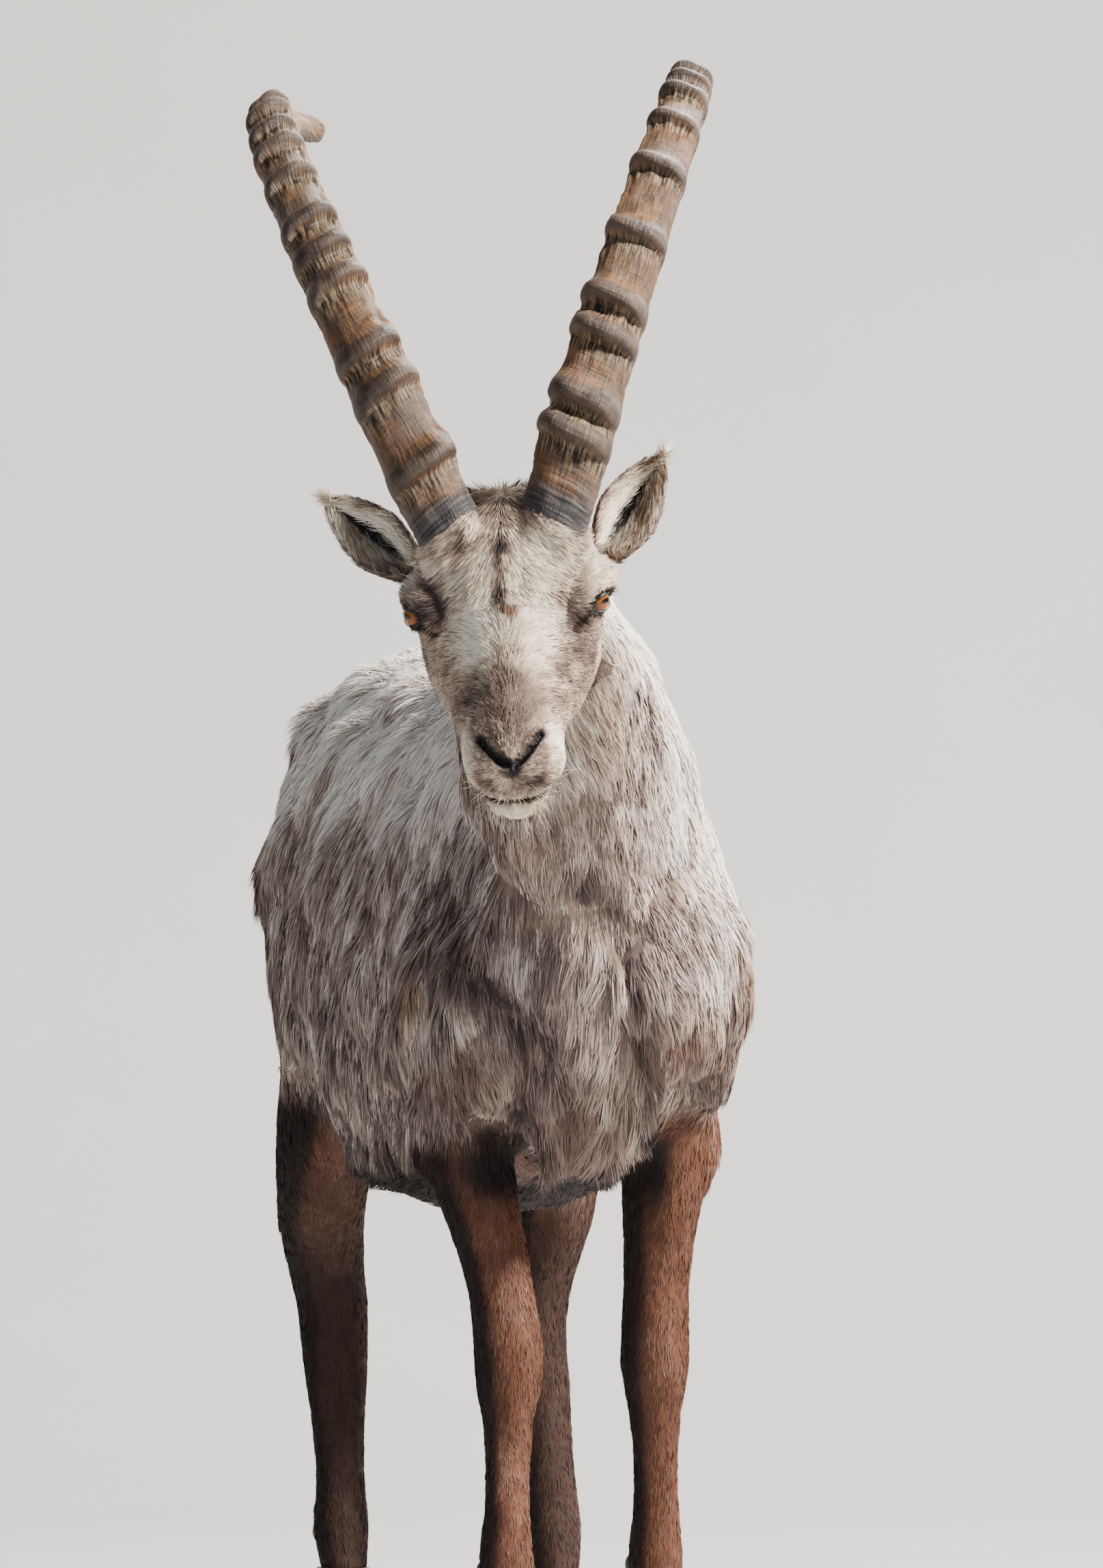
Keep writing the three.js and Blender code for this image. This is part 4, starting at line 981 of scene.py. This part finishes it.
ears = {}
for hand in SIDES:
    ear = laid_grid(f"ear_{hand}_skin", 48, 34, lambda u, v: ear_point(hand, u, v))
    unwrap(ear)
    points = points_of(ear)
    normals = normals_of(ear)
    around, along = shares_of(ear)
    across = -np.cos(around * 2 * np.pi)
    inner = ease(0.50, 0.53, around) * ease(1.0, 0.97, around)
    tip = ease(0.84, 0.98, along)
    rim = ease(0.82, 0.97, np.abs(across))
    axis, facing, sideways = (HEAD_AXES @ v for v in ear_frame(hand))
    lie = axis - (across * inner * 0.65)[:, None] * sideways
    lie = flattened(lie, normals)
    stripe = inner * spot((across, along), (0.02, 0.45), (0.28, 0.60), 2) * (1 - tip)
    tone = 0.36 * (1 - inner) + inner * (0.70 + 0.6 * spot((across,), (0.52,), (0.24,)))
    tone = np.maximum(tone, 0.95 * tip) + 0.15 * rim
    brown = 0.45 * (1 - tip) * (1 - inner) * (1 - 0.6 * rim)
    dark = np.maximum(0.98 * stripe, 0.55 * inner * spot((across,), (-0.35,), (0.35,)) * (1 - tip))
    marks_ear = np.clip(np.stack([tone, brown, 0.2 * brown, dark], 1), 0, 1)
    fields_ear = {
        "lie": lie,
        "length": (7 + 7 * inner + 3 * tip) / 1000,
        "width": np.full(len(points), 0.0007),
        "lift": 0.16 + 0.26 * inner + 0.1 * rim,
        "gather": np.full(len(points), 0.4),
        "thick": 850e3 * (1 - 0.8 * stripe),
        "lay": along_lie(points, lie),
    }
    marks_skin = np.clip(marks_ear + [-0.1, 0, 0, 0.35] * inner[:, None], 0, 1)
    give_looks(ear, marks_skin, np.tile(SKIN_STRAND, (len(points), 1)), fields_ear["lay"])
    ear.data.materials.append(hide_finish)
    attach(ear, "root")
    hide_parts(f"ear_{hand}")
    ears[hand] = (ear, fields_ear, marks_ear)


# The eyes
# A clear, wet eyeball with an amber iris, a level slot for a pupil, and a nearly black rim round the
# iris. It looks out to the side and a little forward, under a dark lid.
PUPIL_HALF = 0.0052
IRIS_RADIUS = 0.0098
CORNEA_BULGE = 0.0011
CORNEA_EDGE = 0.72


def eye_paint(centre, outward, up):
    def paint():
        place = object_place()
        dot = {"operation": "DOT_PRODUCT"}
        local = []
        for axis in (HEAD_AXES @ v for v in (np.cross(up, outward), up, outward)):
            far_along = Flow.node("ShaderNodeVectorMath", 1, dot, i0=place, i1=Vector(axis))
            local.append(far_along - float(axis @ centre))
        long, high, front = local
        far = (long * long + high * high) ** 0.5
        turn = Flow.node("ShaderNodeMath", settings={"operation": "ARCTAN2"}, i0=high, i1=long)
        fibres = paired(turn * 7.0, far * 160.0).noise(1.6, 3.0, 0.6)
        iris = tinted(fibres.between(0.3, 0.7), (0.060, 0.0110, 0.0003), (0.36, 0.098, 0.0025))
        iris = tinted(far.between(IRIS_RADIUS * 0.72, IRIS_RADIUS), iris, (0.045, 0.013, 0.005))
        colour = tinted(far.between(IRIS_RADIUS * 0.96, IRIS_RADIUS * 1.08), iris, (0.020, 0.010, 0.008))
        slot = ((long / PUPIL_HALF) ** 2.0 + ((high - 0.001) / 0.0021) ** 2.0) ** 0.5
        pupil = slot.between(1.15, 0.85) * front.between(0.0, 0.002)
        return {"Base Color": tinted(pupil, colour, (0.004, 0.004, 0.005))}

    return paint


def ball(name, segments, rings, radius, centre):
    bpy.ops.mesh.primitive_uv_sphere_add(segments=segments, ring_count=rings, radius=radius, location=centre)
    piece = bpy.context.object
    piece.name = name
    return piece


for hand, side in SIDES.items():
    outward, up = eye_axes(side)[:2]
    centre = from_head(side * EYE_PLACE[0], EYE_PLACE[1], EYE_PLACE[2])
    eye = ball(f"eyeball_{hand}", 56, 36, EYE_RADIUS / 1000, centre)
    bpy.ops.object.transform_apply()
    away = unit(points_of(eye) - centre)
    bulge = CORNEA_BULGE * ease(math.cos(CORNEA_EDGE), 1.0, away @ (HEAD_AXES @ outward))
    move_points(eye, points_of(eye) + away * bulge[:, None])
    bpy.ops.object.shade_smooth()
    paint = eye_paint(centre, outward, up)
    finish = material(f"eye_{hand}_finish", paint, roughness=0.18, Coat_Weight=0.45, Specular_IOR_Level=0.2)
    eye.data.materials.append(finish)
    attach(eye, "root")
    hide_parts(f"eye_{hand}")


# The eyelids
# Two bare, nearly black rims of lid meet in a point in front and behind, and lie on the eyeball.
def lid_paint():
    place = object_place()
    grain = place.noise(900.0, 3.0, 0.6)
    colour = tinted(grain.between(0.4, 0.7), (0.006, 0.005, 0.005), (0.020, 0.015, 0.013))
    return {"Base Color": colour, "Normal": bumpy(grain, 0.4, 0.0006)}


lid_finish = material("lid_finish", lid_paint, roughness=0.45)


def lid_point(side, around, along):
    """The lid's rim: a bead that runs round the opening, thicker above."""
    turns = along * 2 * np.pi
    thick = 1.0 + 0.7 * np.maximum(np.sin(turns), 0)
    spread = 0.075 * np.sin(around * 2 * np.pi) * thick
    high = np.where(np.sin(turns) > 0, LID_ABOVE, LID_BELOW) * np.sin(turns)
    long = np.where(np.cos(turns) > 0, LID_BEHIND, LID_AHEAD) * np.cos(turns)
    outward, up, back = eye_axes(side)
    grow = 1 + spread / np.maximum(np.hypot(high, long * 0.5), 0.3)
    out = unit(outward + (long * grow)[:, None] * back + (high * grow)[:, None] * up)
    reach = EYE_RADIUS + 0.5 + thick * 0.75 * (1 + np.cos(around * 2 * np.pi)) / 1.6
    place = out * reach[:, None] + [side * EYE_PLACE[0], -EYE_PLACE[1], EYE_PLACE[2]]
    return out_of_head(place)


for hand, side in SIDES.items():
    lid = laid_grid(f"eyelids_{hand}", 10, 64, lambda u, v: lid_point(side, u, v))
    lid.data.materials.append(lid_finish)
    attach(lid, "root")


# The horns
# Two long sheaths of horn, curved back like sabres. Smooth rolls cross the broad front aslant and
# end in knobs on its inner edge, with combed fibres in painted shadow beneath each, over a ringed,
# slate-grey root.
HORN = {"side": 46, "nose": 42, "up": 58, "sweep": 107, "sunk": 14, "tip_inward": 20}
HORN_HANDS = {
    "left": {"splay": 20.1, "curve": 399, "bow": 3, "hook": 0},
    "right": {"splay": 22.6, "curve": 408, "bow": 0, "hook": 13},
}
HORN_AT = [0, 0.1, 0.2, 0.3, 0.45, 0.6, 0.75, 0.88, 0.97, 1]
HORN_OUTER = [33, 31, 27.5, 24.5, 21.5, 19.5, 17, 12.5, 9, 6]
HORN_INNER = [34, 39, 38, 36, 32, 28, 23, 15, 9.5, 6]
HORN_DEEP = [41, 38, 34.5, 31, 28, 26, 22, 16.5, 10.5, 7]
RIDGES = {
    "left": [11.8, 15.8, 24.2, 28.6, 38.5, 50, 60.2, 68.6, 75.5, 82, 88.6],
    "right": [9.2, 18.9, 24.2, 33.8, 39.2, 44.5, 53.2, 60.4, 66.6, 73.8, 80.6, 87.4],
}


def lattice(around, cells, along, seed):
    """Smooth random relief from 0 to 1, over cells that close round the horn."""
    table = np.random.default_rng(seed).random((cells, 97))
    x = around * cells
    column = np.floor(x).astype(int)
    row = np.floor(along).astype(int)
    a, b = (t * t * (3 - 2 * t) for t in (x - column, along - row))
    first, second = (
        table[here % cells, row % 97] * (1 - b) + table[here % cells, (row + 1) % 97] * b
        for here in (column, column + 1)
    )
    return first * (1 - a) + second * a


def horn_line(hand, place):
    """The line that a horn grows along, in the head's frame."""
    side = SIDES[hand]
    form = HORN_HANDS[hand]
    splay = math.radians(form["splay"])
    rise = level_in_head((side * math.sin(splay), 0, math.cos(splay)))
    sweep = level_in_head((0, 1, 0))
    inward = unit(np.cross(rise, sweep))
    inward = -inward if inward[0] * side > 0 else inward
    turn = math.radians(HORN["sweep"]) * place
    line = np.array([side * HORN["side"], -HORN["nose"], HORN["up"]])
    line = line + (form["curve"] * np.sin(turn) - HORN["sunk"])[:, None] * rise
    line = line + (form["curve"] * (1 - np.cos(turn)))[:, None] * sweep
    bend = HORN["tip_inward"] * place**3 + form["hook"] * ease(0.88, 1.0, place)
    bend = bend - form["bow"] * np.sin(np.pi * place)
    return line + bend[:, None] * inward


def horn_length(hand):
    return HORN_HANDS[hand]["curve"] * math.radians(HORN["sweep"])


def horn_relief(hand, around, along):
    """Swelling of the rolls, in millimetres, and masks of the rolls and of the combed horn beneath them,
    which is also painted in shadow.
    """
    length = horn_length(hand)
    swell = np.zeros_like(along)
    roll = np.zeros_like(along)
    comb = np.zeros_like(along)
    for i, angle in enumerate(RIDGES[hand]):
        at = angle / HORN["sweep"]
        size = (12.5 + (7.0 - 12.5) * at) * (1 + 0.18 * math.sin(i * 3.1))
        wide = 10.5 + (7.5 - 10.5) * at
        wave = 3.0 * (lattice(around, 7, np.full_like(along, i * 3.7), 5) - 0.5)
        away = ((along - at) * length + wave) / wide
        below = np.clip(1 - np.clip(-away / 0.95, 0, 1) ** 3, 0, 1) ** 0.65
        above = near(np.maximum(away, 0), 1.25, 2.2)
        swell = np.maximum(swell, size * np.where(away < 0, below, above))
        swell -= 0.20 * size * near(away + 1.5, 0.55)
        roll = np.maximum(roll, np.where(away < 0, below, near(away, 0.95, 4)))
        comb = np.maximum(comb, ease(-2.8, -1.5, away) * ease(-0.7, -1.0, away))
    return swell, roll, comb


def horn_point(hand, around, along):
    """A place on a horn: round it, and along it from root to tip."""
    side = SIDES[hand]
    length = horn_length(hand)
    middle = horn_line(hand, along)
    ahead = unit(horn_line(hand, along + 0.004) - horn_line(hand, along - 0.004))
    centre = (horn_line(hand, along + 0.1) + horn_line(hand, along - 0.1)) / 2
    front = middle - centre
    front = unit(front - np.sum(front * ahead, 1, keepdims=True) * ahead)
    out = unit(np.cross(ahead, front))
    out = out * np.where(out[:, :1] * side < 0, -1, 1)
    turn = around * 2 * np.pi
    forward = np.sin(turn)
    sideways = np.cos(turn)
    facing = np.maximum(forward + 0.35, 0) / 1.35
    swell, roll, comb = horn_relief(hand, around, along)
    bump = swell * facing**0.6 * (1 - 0.55 * sideways)
    far = along * length
    relief = (lattice(around, 64, far / 24, 1) - 0.5) * (0.8 + 2.4 * comb) * (1 - roll * 0.8)
    relief += (lattice(around, 24, far / 7, 2) - 0.5) * 1.0 * (1 - roll * 0.6)
    relief += (lattice(around, 5, far / 3.2, 3) - 0.5) * 1.5 * ease(70, 40, far)
    crest = near(around - 0.415, 0.016) * (0.2 + 1.3 * lattice(around, 3, far / 11, 4))
    relief += (3.6 * crest * (1 - roll) - 2.6 * near(around - 0.47, 0.035)) * ease(0.97, 0.85, along)
    outer, inner, deep = (np.interp(along, HORN_AT, table) for table in (HORN_OUTER, HORN_INNER, HORN_DEEP))
    narrow = 0.82 + 0.18 * forward
    half = np.where(sideways > 0, outer, inner)
    wide = (half + bump * 0.7) * narrow * np.sign(sideways) * np.abs(sideways) ** 0.7
    wide += relief * sideways
    tall = deep * np.sign(forward) * np.abs(forward) ** 0.8
    tall += bump * np.maximum(forward, 0) + relief * forward
    lag = -sideways * outer * 0.34 * facing
    cap = np.sqrt(np.clip((1 - along) / 0.012, 0, 1))
    place = middle + (wide * cap)[:, None] * out + (tall * cap)[:, None] * front + lag[:, None] * ahead
    return out_of_head(place)


def horn_paint():
    growth = attribute("growth", 1)
    far, around, roll = (growth.part(i) for i in range(3))
    wear_and_shadow = attribute("wear_and_shadow", 1)
    comb, inner, outer = (wear_and_shadow.part(i) for i in range(3))
    place = object_place()
    fibres = paired(around * 110.0, far * 4.0).noise(1.0, 4.0, 0.68)
    rings = paired(around * 5.0, far * 36.0).noise(1.0, 4.0, 0.62)
    blotch = place.noise(42.0, 4.0, 0.62)
    grime = place.noise(17.0, 5.0, 0.6)
    colour = tinted(fibres.between(0.34, 0.66), (0.042, 0.020, 0.010), (0.205, 0.110, 0.050))
    colour = tinted(blotch.between(0.50, 0.66) * 0.70, colour, (0.30, 0.135, 0.058))
    colour = tinted(grime.between(0.48, 0.64) * 0.65, colour, (0.120, 0.086, 0.070))
    colour = tinted(outer * 0.65, colour, (0.075, 0.052, 0.040))
    # Painted shadow under each roll: the combed fibres go from near black to pale tan.
    combed_in_shadow = tinted(fibres.between(0.44, 0.57), (0.016, 0.009, 0.006), (0.30, 0.205, 0.120))
    colour = tinted(comb * 0.85, colour, combed_in_shadow)
    rubbed = tinted(blotch.between(0.35, 0.65), (0.042, 0.026, 0.019), (0.118, 0.077, 0.055))
    colour = tinted(roll.between(0.35, 0.75), colour, rubbed)
    seam = tinted(fibres.between(0.35, 0.65), (0.13, 0.050, 0.021), (0.42, 0.21, 0.095))
    colour = tinted(inner, colour, seam)
    slate = tinted(rings.between(0.38, 0.62), (0.018, 0.016, 0.017), (0.088, 0.078, 0.076))
    colour = tinted((far + (blotch - 0.5) * 0.5).between(0.50, 0.22), colour, slate)
    colour = shaded(colour, 0.50 + 0.55 * rings)
    relief = rings * 0.9 + fibres * 1.0 + blotch * 0.5
    return {"Base Color": colour, "Roughness": 0.36 + 0.30 * fibres, "Normal": bumpy(relief, 0.9, 0.0016)}


horn_finish = material("horn_finish", horn_paint, Specular_IOR_Level=0.35)
for hand in SIDES:
    horn = laid_grid(f"horn_{hand}_sheath", 76, 520, lambda u, v: horn_point(hand, u, v))
    around, along = shares_of(horn)
    swell, roll, comb = horn_relief(hand, around, along)
    forward = np.sin(around * 2 * np.pi)
    facing = ease(-0.2, 0.35, forward)
    inner = ease(0.42, 0.435, around) * ease(0.62, 0.54, around) * ease(0.98, 0.85, along)
    outer = np.maximum(ease(0.07, 0.02, around), ease(0.64, 0.75, around))
    far = along * horn_length(hand) / 100
    give(horn, "growth", np.stack([far, around, roll * facing * (1 - inner)], 1))
    # The comb mask here also places the painted shadow under each roll.
    give(horn, "wear_and_shadow", np.stack([comb * facing, inner, outer], 1))
    horn.data.materials.append(horn_finish)
    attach(horn, "root")
    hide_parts(f"horn_{hand}")


# The hooves
# Each foot has two black claws with a hard wall, a flat sole and growth lines, and two dewclaws behind.
FEET = {"fore_left": (78, 40), "fore_right": (-78, -96), "hind_left": (105, 668), "hind_right": (-66, 798)}
CLAW = {"half": 12.5, "apart": 14.5, "toe": 47, "heel": 24, "splay": 4}
CLAW_AT = [0, 16, 47, 53]
CLAW_STEEP = [1, 0.94, 0.62, 0.56]
CLAW_GIRTH = [1, 0.99, 0.84, 0.78]
SOLE = 0.15


def hoof_paint():
    place = object_place()
    lines = stretched(place, (30, 30, 420)).noise(1.0, 3.0, 0.6)
    scuffs = place.noise(160.0, 4.0, 0.7)
    colour = tinted(lines.between(0.35, 0.7), (0.018, 0.015, 0.014), (0.075, 0.058, 0.048))
    colour = tinted(scuffs.between(0.55, 0.8) * 0.6, colour, (0.15, 0.125, 0.105))
    relief = bumpy(lines + scuffs * 0.4, 0.5, 0.001)
    return {"Base Color": colour, "Roughness": 0.38 + 0.3 * scuffs, "Normal": relief}


hoof_finish = material("hoof_finish", hoof_paint)


def claw_point(leg, side, around, up):
    """A place on a claw: round it, and from the middle of the sole up its wall to the middle of its top."""
    foot_x, foot_y = FEET[leg]
    fill = np.minimum(np.minimum(up / SOLE, (1 - up) / SOLE), 1)
    height = np.clip((up - SOLE) / 0.7, 0, 1) * CLAW_AT[-1]
    steep = np.interp(height, CLAW_AT, CLAW_STEEP)
    girth = np.interp(height, CLAW_AT, CLAW_GIRTH)
    turn = around * 2 * np.pi
    ahead = np.sin(turn) < 0
    reach = np.where(ahead, CLAW["toe"] * steep, CLAW["heel"] * (0.7 + 0.3 * steep))
    narrow = np.where(ahead, 1 - 0.35 * np.abs(np.sin(turn)) ** 3, 1)
    across = side * CLAW["apart"] + CLAW["half"] * girth * narrow * np.cos(turn) * fill
    forward = reach * np.sin(turn) * fill
    splay = np.maximum(CLAW["splay"] * -forward / CLAW["toe"], 0) * side
    place = np.stack([foot_x + across + splay, foot_y + forward, height], 1) / 1000
    return place + BODY_AT


for leg in LEGS:
    for hand, side in SIDES.items():
        claw = laid_grid(f"{leg}_hoof_{hand}", 40, 24, lambda u, v: claw_point(leg, side, u, v))
        claw.data.materials.append(hoof_finish)
        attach(claw, "root")
        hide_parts(f"{leg}_claw_{hand}")
        low, high = (np.array(corner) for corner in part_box(f"{leg}_dewclaw_{hand}"))
        dew = ball(f"{leg}_dewhoof_{hand}", 24, 16, 1, (low + high) / 2)
        bpy.ops.transform.resize(value=(high - low) / 2)
        bpy.ops.object.transform_apply()
        bpy.ops.object.shade_smooth()
        dew.data.materials.append(hoof_finish)
        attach(dew, "root")
        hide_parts(f"{leg}_dewclaw_{hand}")


# The coat
# Hair grows in thin, tapered tufts that lie over one another and gather into locks. Each tuft is a
# curved blade rooted in the skin, and takes the colour of the skin at its root.
SWAY = 0.16
BAKE_PATCH = 0.003
MOST_TRIANGLES = 196000
rng = np.random.default_rng(11)


def triangles_of(piece):
    """For each triangle the numbers of its three points, and of its corners in the map for baking."""
    piece.data.calc_loop_triangles()
    corners = np.empty(len(piece.data.loop_triangles) * 3, np.int32)
    loops = np.empty_like(corners)
    piece.data.loop_triangles.foreach_get("vertices", corners)
    piece.data.loop_triangles.foreach_get("loops", loops)
    return corners.reshape(-1, 3), loops.reshape(-1, 3)


def blend_at(values, corners, weights):
    """Values at places in triangles, blended from those at the triangles' corners."""
    values = values[:, None] if values.ndim == 1 else values
    return np.einsum("nk,nkd->nd", weights, values[corners])


def seed_roots(piece, thick):
    """Random places on a piece, as many per square metre as its points say."""
    corners, loops = triangles_of(piece)
    points = points_of(piece)
    a, b, c = (points[corners[:, k]] for k in range(3))
    area = np.linalg.norm(np.cross(b - a, c - a), axis=1) / 2
    expected = area * thick[corners].mean(1)
    total = int(expected.sum())
    chosen = rng.choice(len(corners), total, p=expected / expected.sum())
    share = rng.random((total, 2))
    flip = share.sum(1) > 1
    share[flip] = 1 - share[flip]
    weights = np.stack([1 - share.sum(1), share[:, 0], share[:, 1]], 1)
    uv = read(piece.data.uv_layers[0].data, "uv", 2)
    return corners[chosen], weights, blend_at(uv, loops[chosen], weights)


def blades(root, normal, values, steps, locks):
    """Corners of the blades, so many of them to a lock, how far along a blade each corner is, and the
    strand values: that again, a random number of each blade's own, and one of its lock.
    """
    count = len(root)
    lie, length, width, lift, gather = (values[key] for key in ("lie", "length", "width", "lift", "gather"))
    across = unit(np.cross(normal, lie))
    sway = rng.normal(0, SWAY, (count, 1))
    heading = unit(lie + sway * across)
    grown = length * rng.uniform(0.7, 1.2, (count, 1))
    levels = np.linspace(0, 1, steps + 1)
    rise = lift * rng.uniform(0.5, 1.5, (count, 1))
    spine = []
    for s in levels:
        hang = grown * s
        out = grown * (rise * math.sin(s * math.pi * 0.5) ** 0.8 - 0.04) - (hang**2) * 1.2 + 0.0002
        curl = 0.05 * grown * math.sin(s * 3) * sway
        spine.append(root + heading * hang + normal * out + across * curl)
    spine = np.stack(spine, 1)
    leaders = rng.choice(count, max(count // locks, 1), replace=False)
    nearest = nearest_of(root[leaders], root)
    leader_spine = spine[leaders][nearest]
    clump = rng.random(len(leaders))[nearest]
    pull = gather[:, :, None] * (levels**1.3)[None, :, None] * rng.uniform(0.6, 1, (count, 1, 1))
    spine = spine + (leader_spine - spine) * np.clip(pull, 0, 0.9)
    twist = rng.normal(0, 0.5, (count, 1))
    flat = across * np.cos(twist) + normal * np.sin(twist)
    taper = np.sin(np.pi * (0.30 + 0.70 * levels[:-1])) ** 0.7
    half = 0.5 * width[:, :, None] * taper[None, :, None] * rng.uniform(0.7, 1.3, (count, 1, 1))
    left = spine[:, :-1] - flat[:, None] * half
    right = spine[:, :-1] + flat[:, None] * half
    blade = np.concatenate([np.stack([left, right], 2).reshape(count, -1, 3), spine[:, -1:]], 1)
    share = np.concatenate([np.repeat(levels[:-1], 2), [1.0]])
    strand = np.stack(np.broadcast_arrays(share, rng.random(count)[:, None], clump[:, None]), 2)
    return blade, share, strand


def tufts(name, root, normal, values, marks_and_shade, at, steps, slot, locks):
    """Blades of hair as meshes of under 200,000 triangles, each with its own patch of the bake."""
    blade, share, strand = blades(root, normal, values, steps, locks)
    per = blade.shape[1]
    patch = np.stack([np.tile([-0.5, 0.5], steps).tolist() + [0], share - 0.5], 1) * BAKE_PATCH
    uv = at[:, None] + patch
    quads = [[2 * k + 1, 2 * k, 2 * k + 2, 2 * k + 3] for k in range(steps - 1)]
    corners = np.array(sum(quads, []) + [per - 2, per - 3, per - 1])
    sizes = np.array([4] * (steps - 1) + [3])
    pieces = max(1, math.ceil(len(root) / (MOST_TRIANGLES // (2 * steps - 1))))
    order = np.argsort(root[:, 1], kind="stable")
    for k, chunk in enumerate(np.array_split(order, pieces)):
        mesh = bpy.data.meshes.new(f"{name}_{k + 1}")
        n = len(chunk)
        mesh.vertices.add(n * per)
        mesh.vertices.foreach_set("co", blade[chunk].astype(np.float32).ravel())
        ids = (np.arange(n)[:, None] * per + corners).astype(np.int32).ravel()
        mesh.loops.add(len(ids))
        mesh.loops.foreach_set("vertex_index", ids)
        starts = np.concatenate([[0], np.cumsum(np.tile(sizes, n))[:-1]])
        mesh.polygons.add(len(starts))
        mesh.polygons.foreach_set("loop_start", starts.astype(np.int32))
        mesh.update(calc_edges=True)
        layer = mesh.uv_layers.new(name="OFBake")
        layer.data.foreach_set("uv", uv[chunk].reshape(-1, 2)[ids].astype(np.float32).ravel())
        piece = bpy.data.objects.new(mesh.name, mesh)
        bpy.context.collection.objects.link(piece)
        looks = np.repeat(marks_and_shade[chunk], per, 0), strand[chunk].reshape(-1, 3)
        give_looks(piece, *looks, np.repeat(values["lay"][chunk], per, 0))
        mesh.polygons.foreach_set("use_smooth", np.ones(len(starts), bool))
        soft = normals_of(piece) * 0.45 + np.repeat(normal[chunk], per, 0) * 0.55
        mesh.normals_split_custom_set_from_vertices(unit(soft).tolist())
        mesh.materials.append(body_hair_finish if slot == "coat" else face_hair_finish)
        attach(piece, "root")


def grow(name, piece, fields, marks_and_shade, slot, locks, steps=2):
    """Grows the coat of one piece of skin from the fields at its points."""
    corners, weights, at = seed_roots(piece, fields["thick"])
    values = {key: blend_at(value, corners, weights) for key, value in fields.items() if key != "thick"}
    known = points_of(piece), normals_of(piece), marks_and_shade
    root, normal, mark = (blend_at(v, corners, weights) for v in known)
    values["lie"] = unit(values["lie"])
    tufts(name, root, unit(normal), values, mark, at, steps, slot, locks)


grow("coat_body", skin, {**fields, "thick": fields["thick"] * ~of_face}, marks_and_shade, "coat", 26)
grow("coat_head", skin, {**fields, "thick": fields["thick"] * of_face}, marks_and_shade, "face", 12)
for hand, (ear, fields_ear, marks_ear) in ears.items():
    grow(f"ear_{hand}_hair", ear, fields_ear, marks_ear, "ear", 10)


# Lashes, whiskers and stray hairs
# Dark lashes stand out from the upper lid, pale whiskers from the lips and chin, and a few long white
# hairs hang loose below the ears.
points = points_of(skin)
side, nose, up = in_head(points)
above_lid = np.where(from_eye(points)[0] @ eye_axes(1)[1] > 0, past_lids(points), FAR_OFF)
lashes = of_face * (from_eye(points)[1] < 24) * ease(2.6, 1.6, above_lid) * ease(0.3, 0.9, above_lid)
lips = 0.6 * ease(270, 280, nose) * ease(2, -6, up)
whiskers = of_face * (spot((side, nose, up), (0, 284, -44), (24, 16, 12)) + lips)
strays = of_face * spot((np.abs(side), nose, up), (80, 62, 4), (16, 14, 26), 2)
for name, mask, count, long, wide, stand, shade in (
    ("lashes", lashes, 0.8e6, 5.5, 0.40, 0.8, (0.05, 0.2, 0, 0.8)),
    ("whiskers", whiskers, 26e3, 17, 0.30, 0.7, (0.9, 0, 0, 0)),
    ("strays", strays, 7e3, 46, 0.34, 0.55, (1.0, 0, 0, 0)),
):
    few = {**fields, "thick": count * mask, "gather": fields["gather"] * 0}
    few["length"] = np.full(len(points), long / 1000)
    few["width"] = np.full(len(points), wide / 1000)
    few["lift"] = np.full(len(points), stand)
    grow(name, skin, few, np.tile(shade, (len(points), 1)), "face", 12, steps=4)


# The floor and the light
# A pale paper sweep, flat under the feet and curved up behind. A large soft lamp stands at the
# viewer's upper right, a weaker one on the left, and one behind that catches the tips of the hair.
SWEEP_WIDE = 26
SWEEP_LONG = 17
SWEEP_AHEAD = 6
BEND_AT = 3.0
BEND_LONG = 2.4
BEND_RADIUS = 1.53


def sweep_point(across, along):
    """A place on the paper: across it, and along it from the viewer's end to its top behind."""
    run = along * SWEEP_LONG - SWEEP_AHEAD
    bend = np.clip((run - BEND_AT) / BEND_LONG, 0, 1) * math.pi / 2
    depth = np.where(run < BEND_AT, run, BEND_AT + BEND_RADIUS * np.sin(bend))
    height = np.where(run < BEND_AT, 0, BEND_RADIUS * (1 - np.cos(bend)))
    height = height + np.maximum(run - BEND_AT - BEND_LONG, 0)
    return np.stack([(across - 0.5) * SWEEP_WIDE, depth, height], 1)


floor = laid_grid("floor", 4, 120, sweep_point, closed=False)


def floor_paint():
    place = object_place()
    behind = Flow.node("ShaderNodeNewGeometry", out=6)
    paper = tinted(place.noise(3.0, 3.0, 0.5), (0.42, 0.415, 0.405), (0.46, 0.455, 0.445))
    return {"Base Color": paper, "Alpha": 1.0 - behind}


floor.data.materials.append(material("floor_finish", floor_paint, roughness=0.9))

world = bpy.data.worlds.new("studio")
bpy.context.scene.world = world
world.use_nodes = True
world.node_tree.nodes["Background"].inputs["Color"].default_value = (0.62, 0.65, 0.70, 1)
world.node_tree.nodes["Background"].inputs["Strength"].default_value = 0.20


def lamp(name, across, toward, up, size, power, colour):
    """A soft lamp placed as the viewer sees it: to the right, nearer, and up, aimed at the chest."""
    place = Vector(BODY_AT) + across * view_right - toward * view_ahead + Vector((0, 0, up))
    bpy.ops.object.light_add(type="AREA", location=place)
    light = bpy.context.object
    light.name = name
    light.data.shape = "DISK"
    light.data.size = size
    light.data.energy = power
    light.data.color = colour
    target = Vector(BODY_AT) + Vector((0, 0, 0.75))
    light.rotation_euler = (target - place).to_track_quat("-Z", "Y").to_euler()


lamp("key", 4.2, 1.5, 4.6, 1.0, 1650, (1.0, 0.95, 0.88))
lamp("fill", -3.0, 5.0, 2.0, 3.0, 85, (0.72, 0.84, 1.0))
lamp("rim", 1.8, -3.2, 4.2, 1.4, 520, (1.0, 0.98, 0.95))
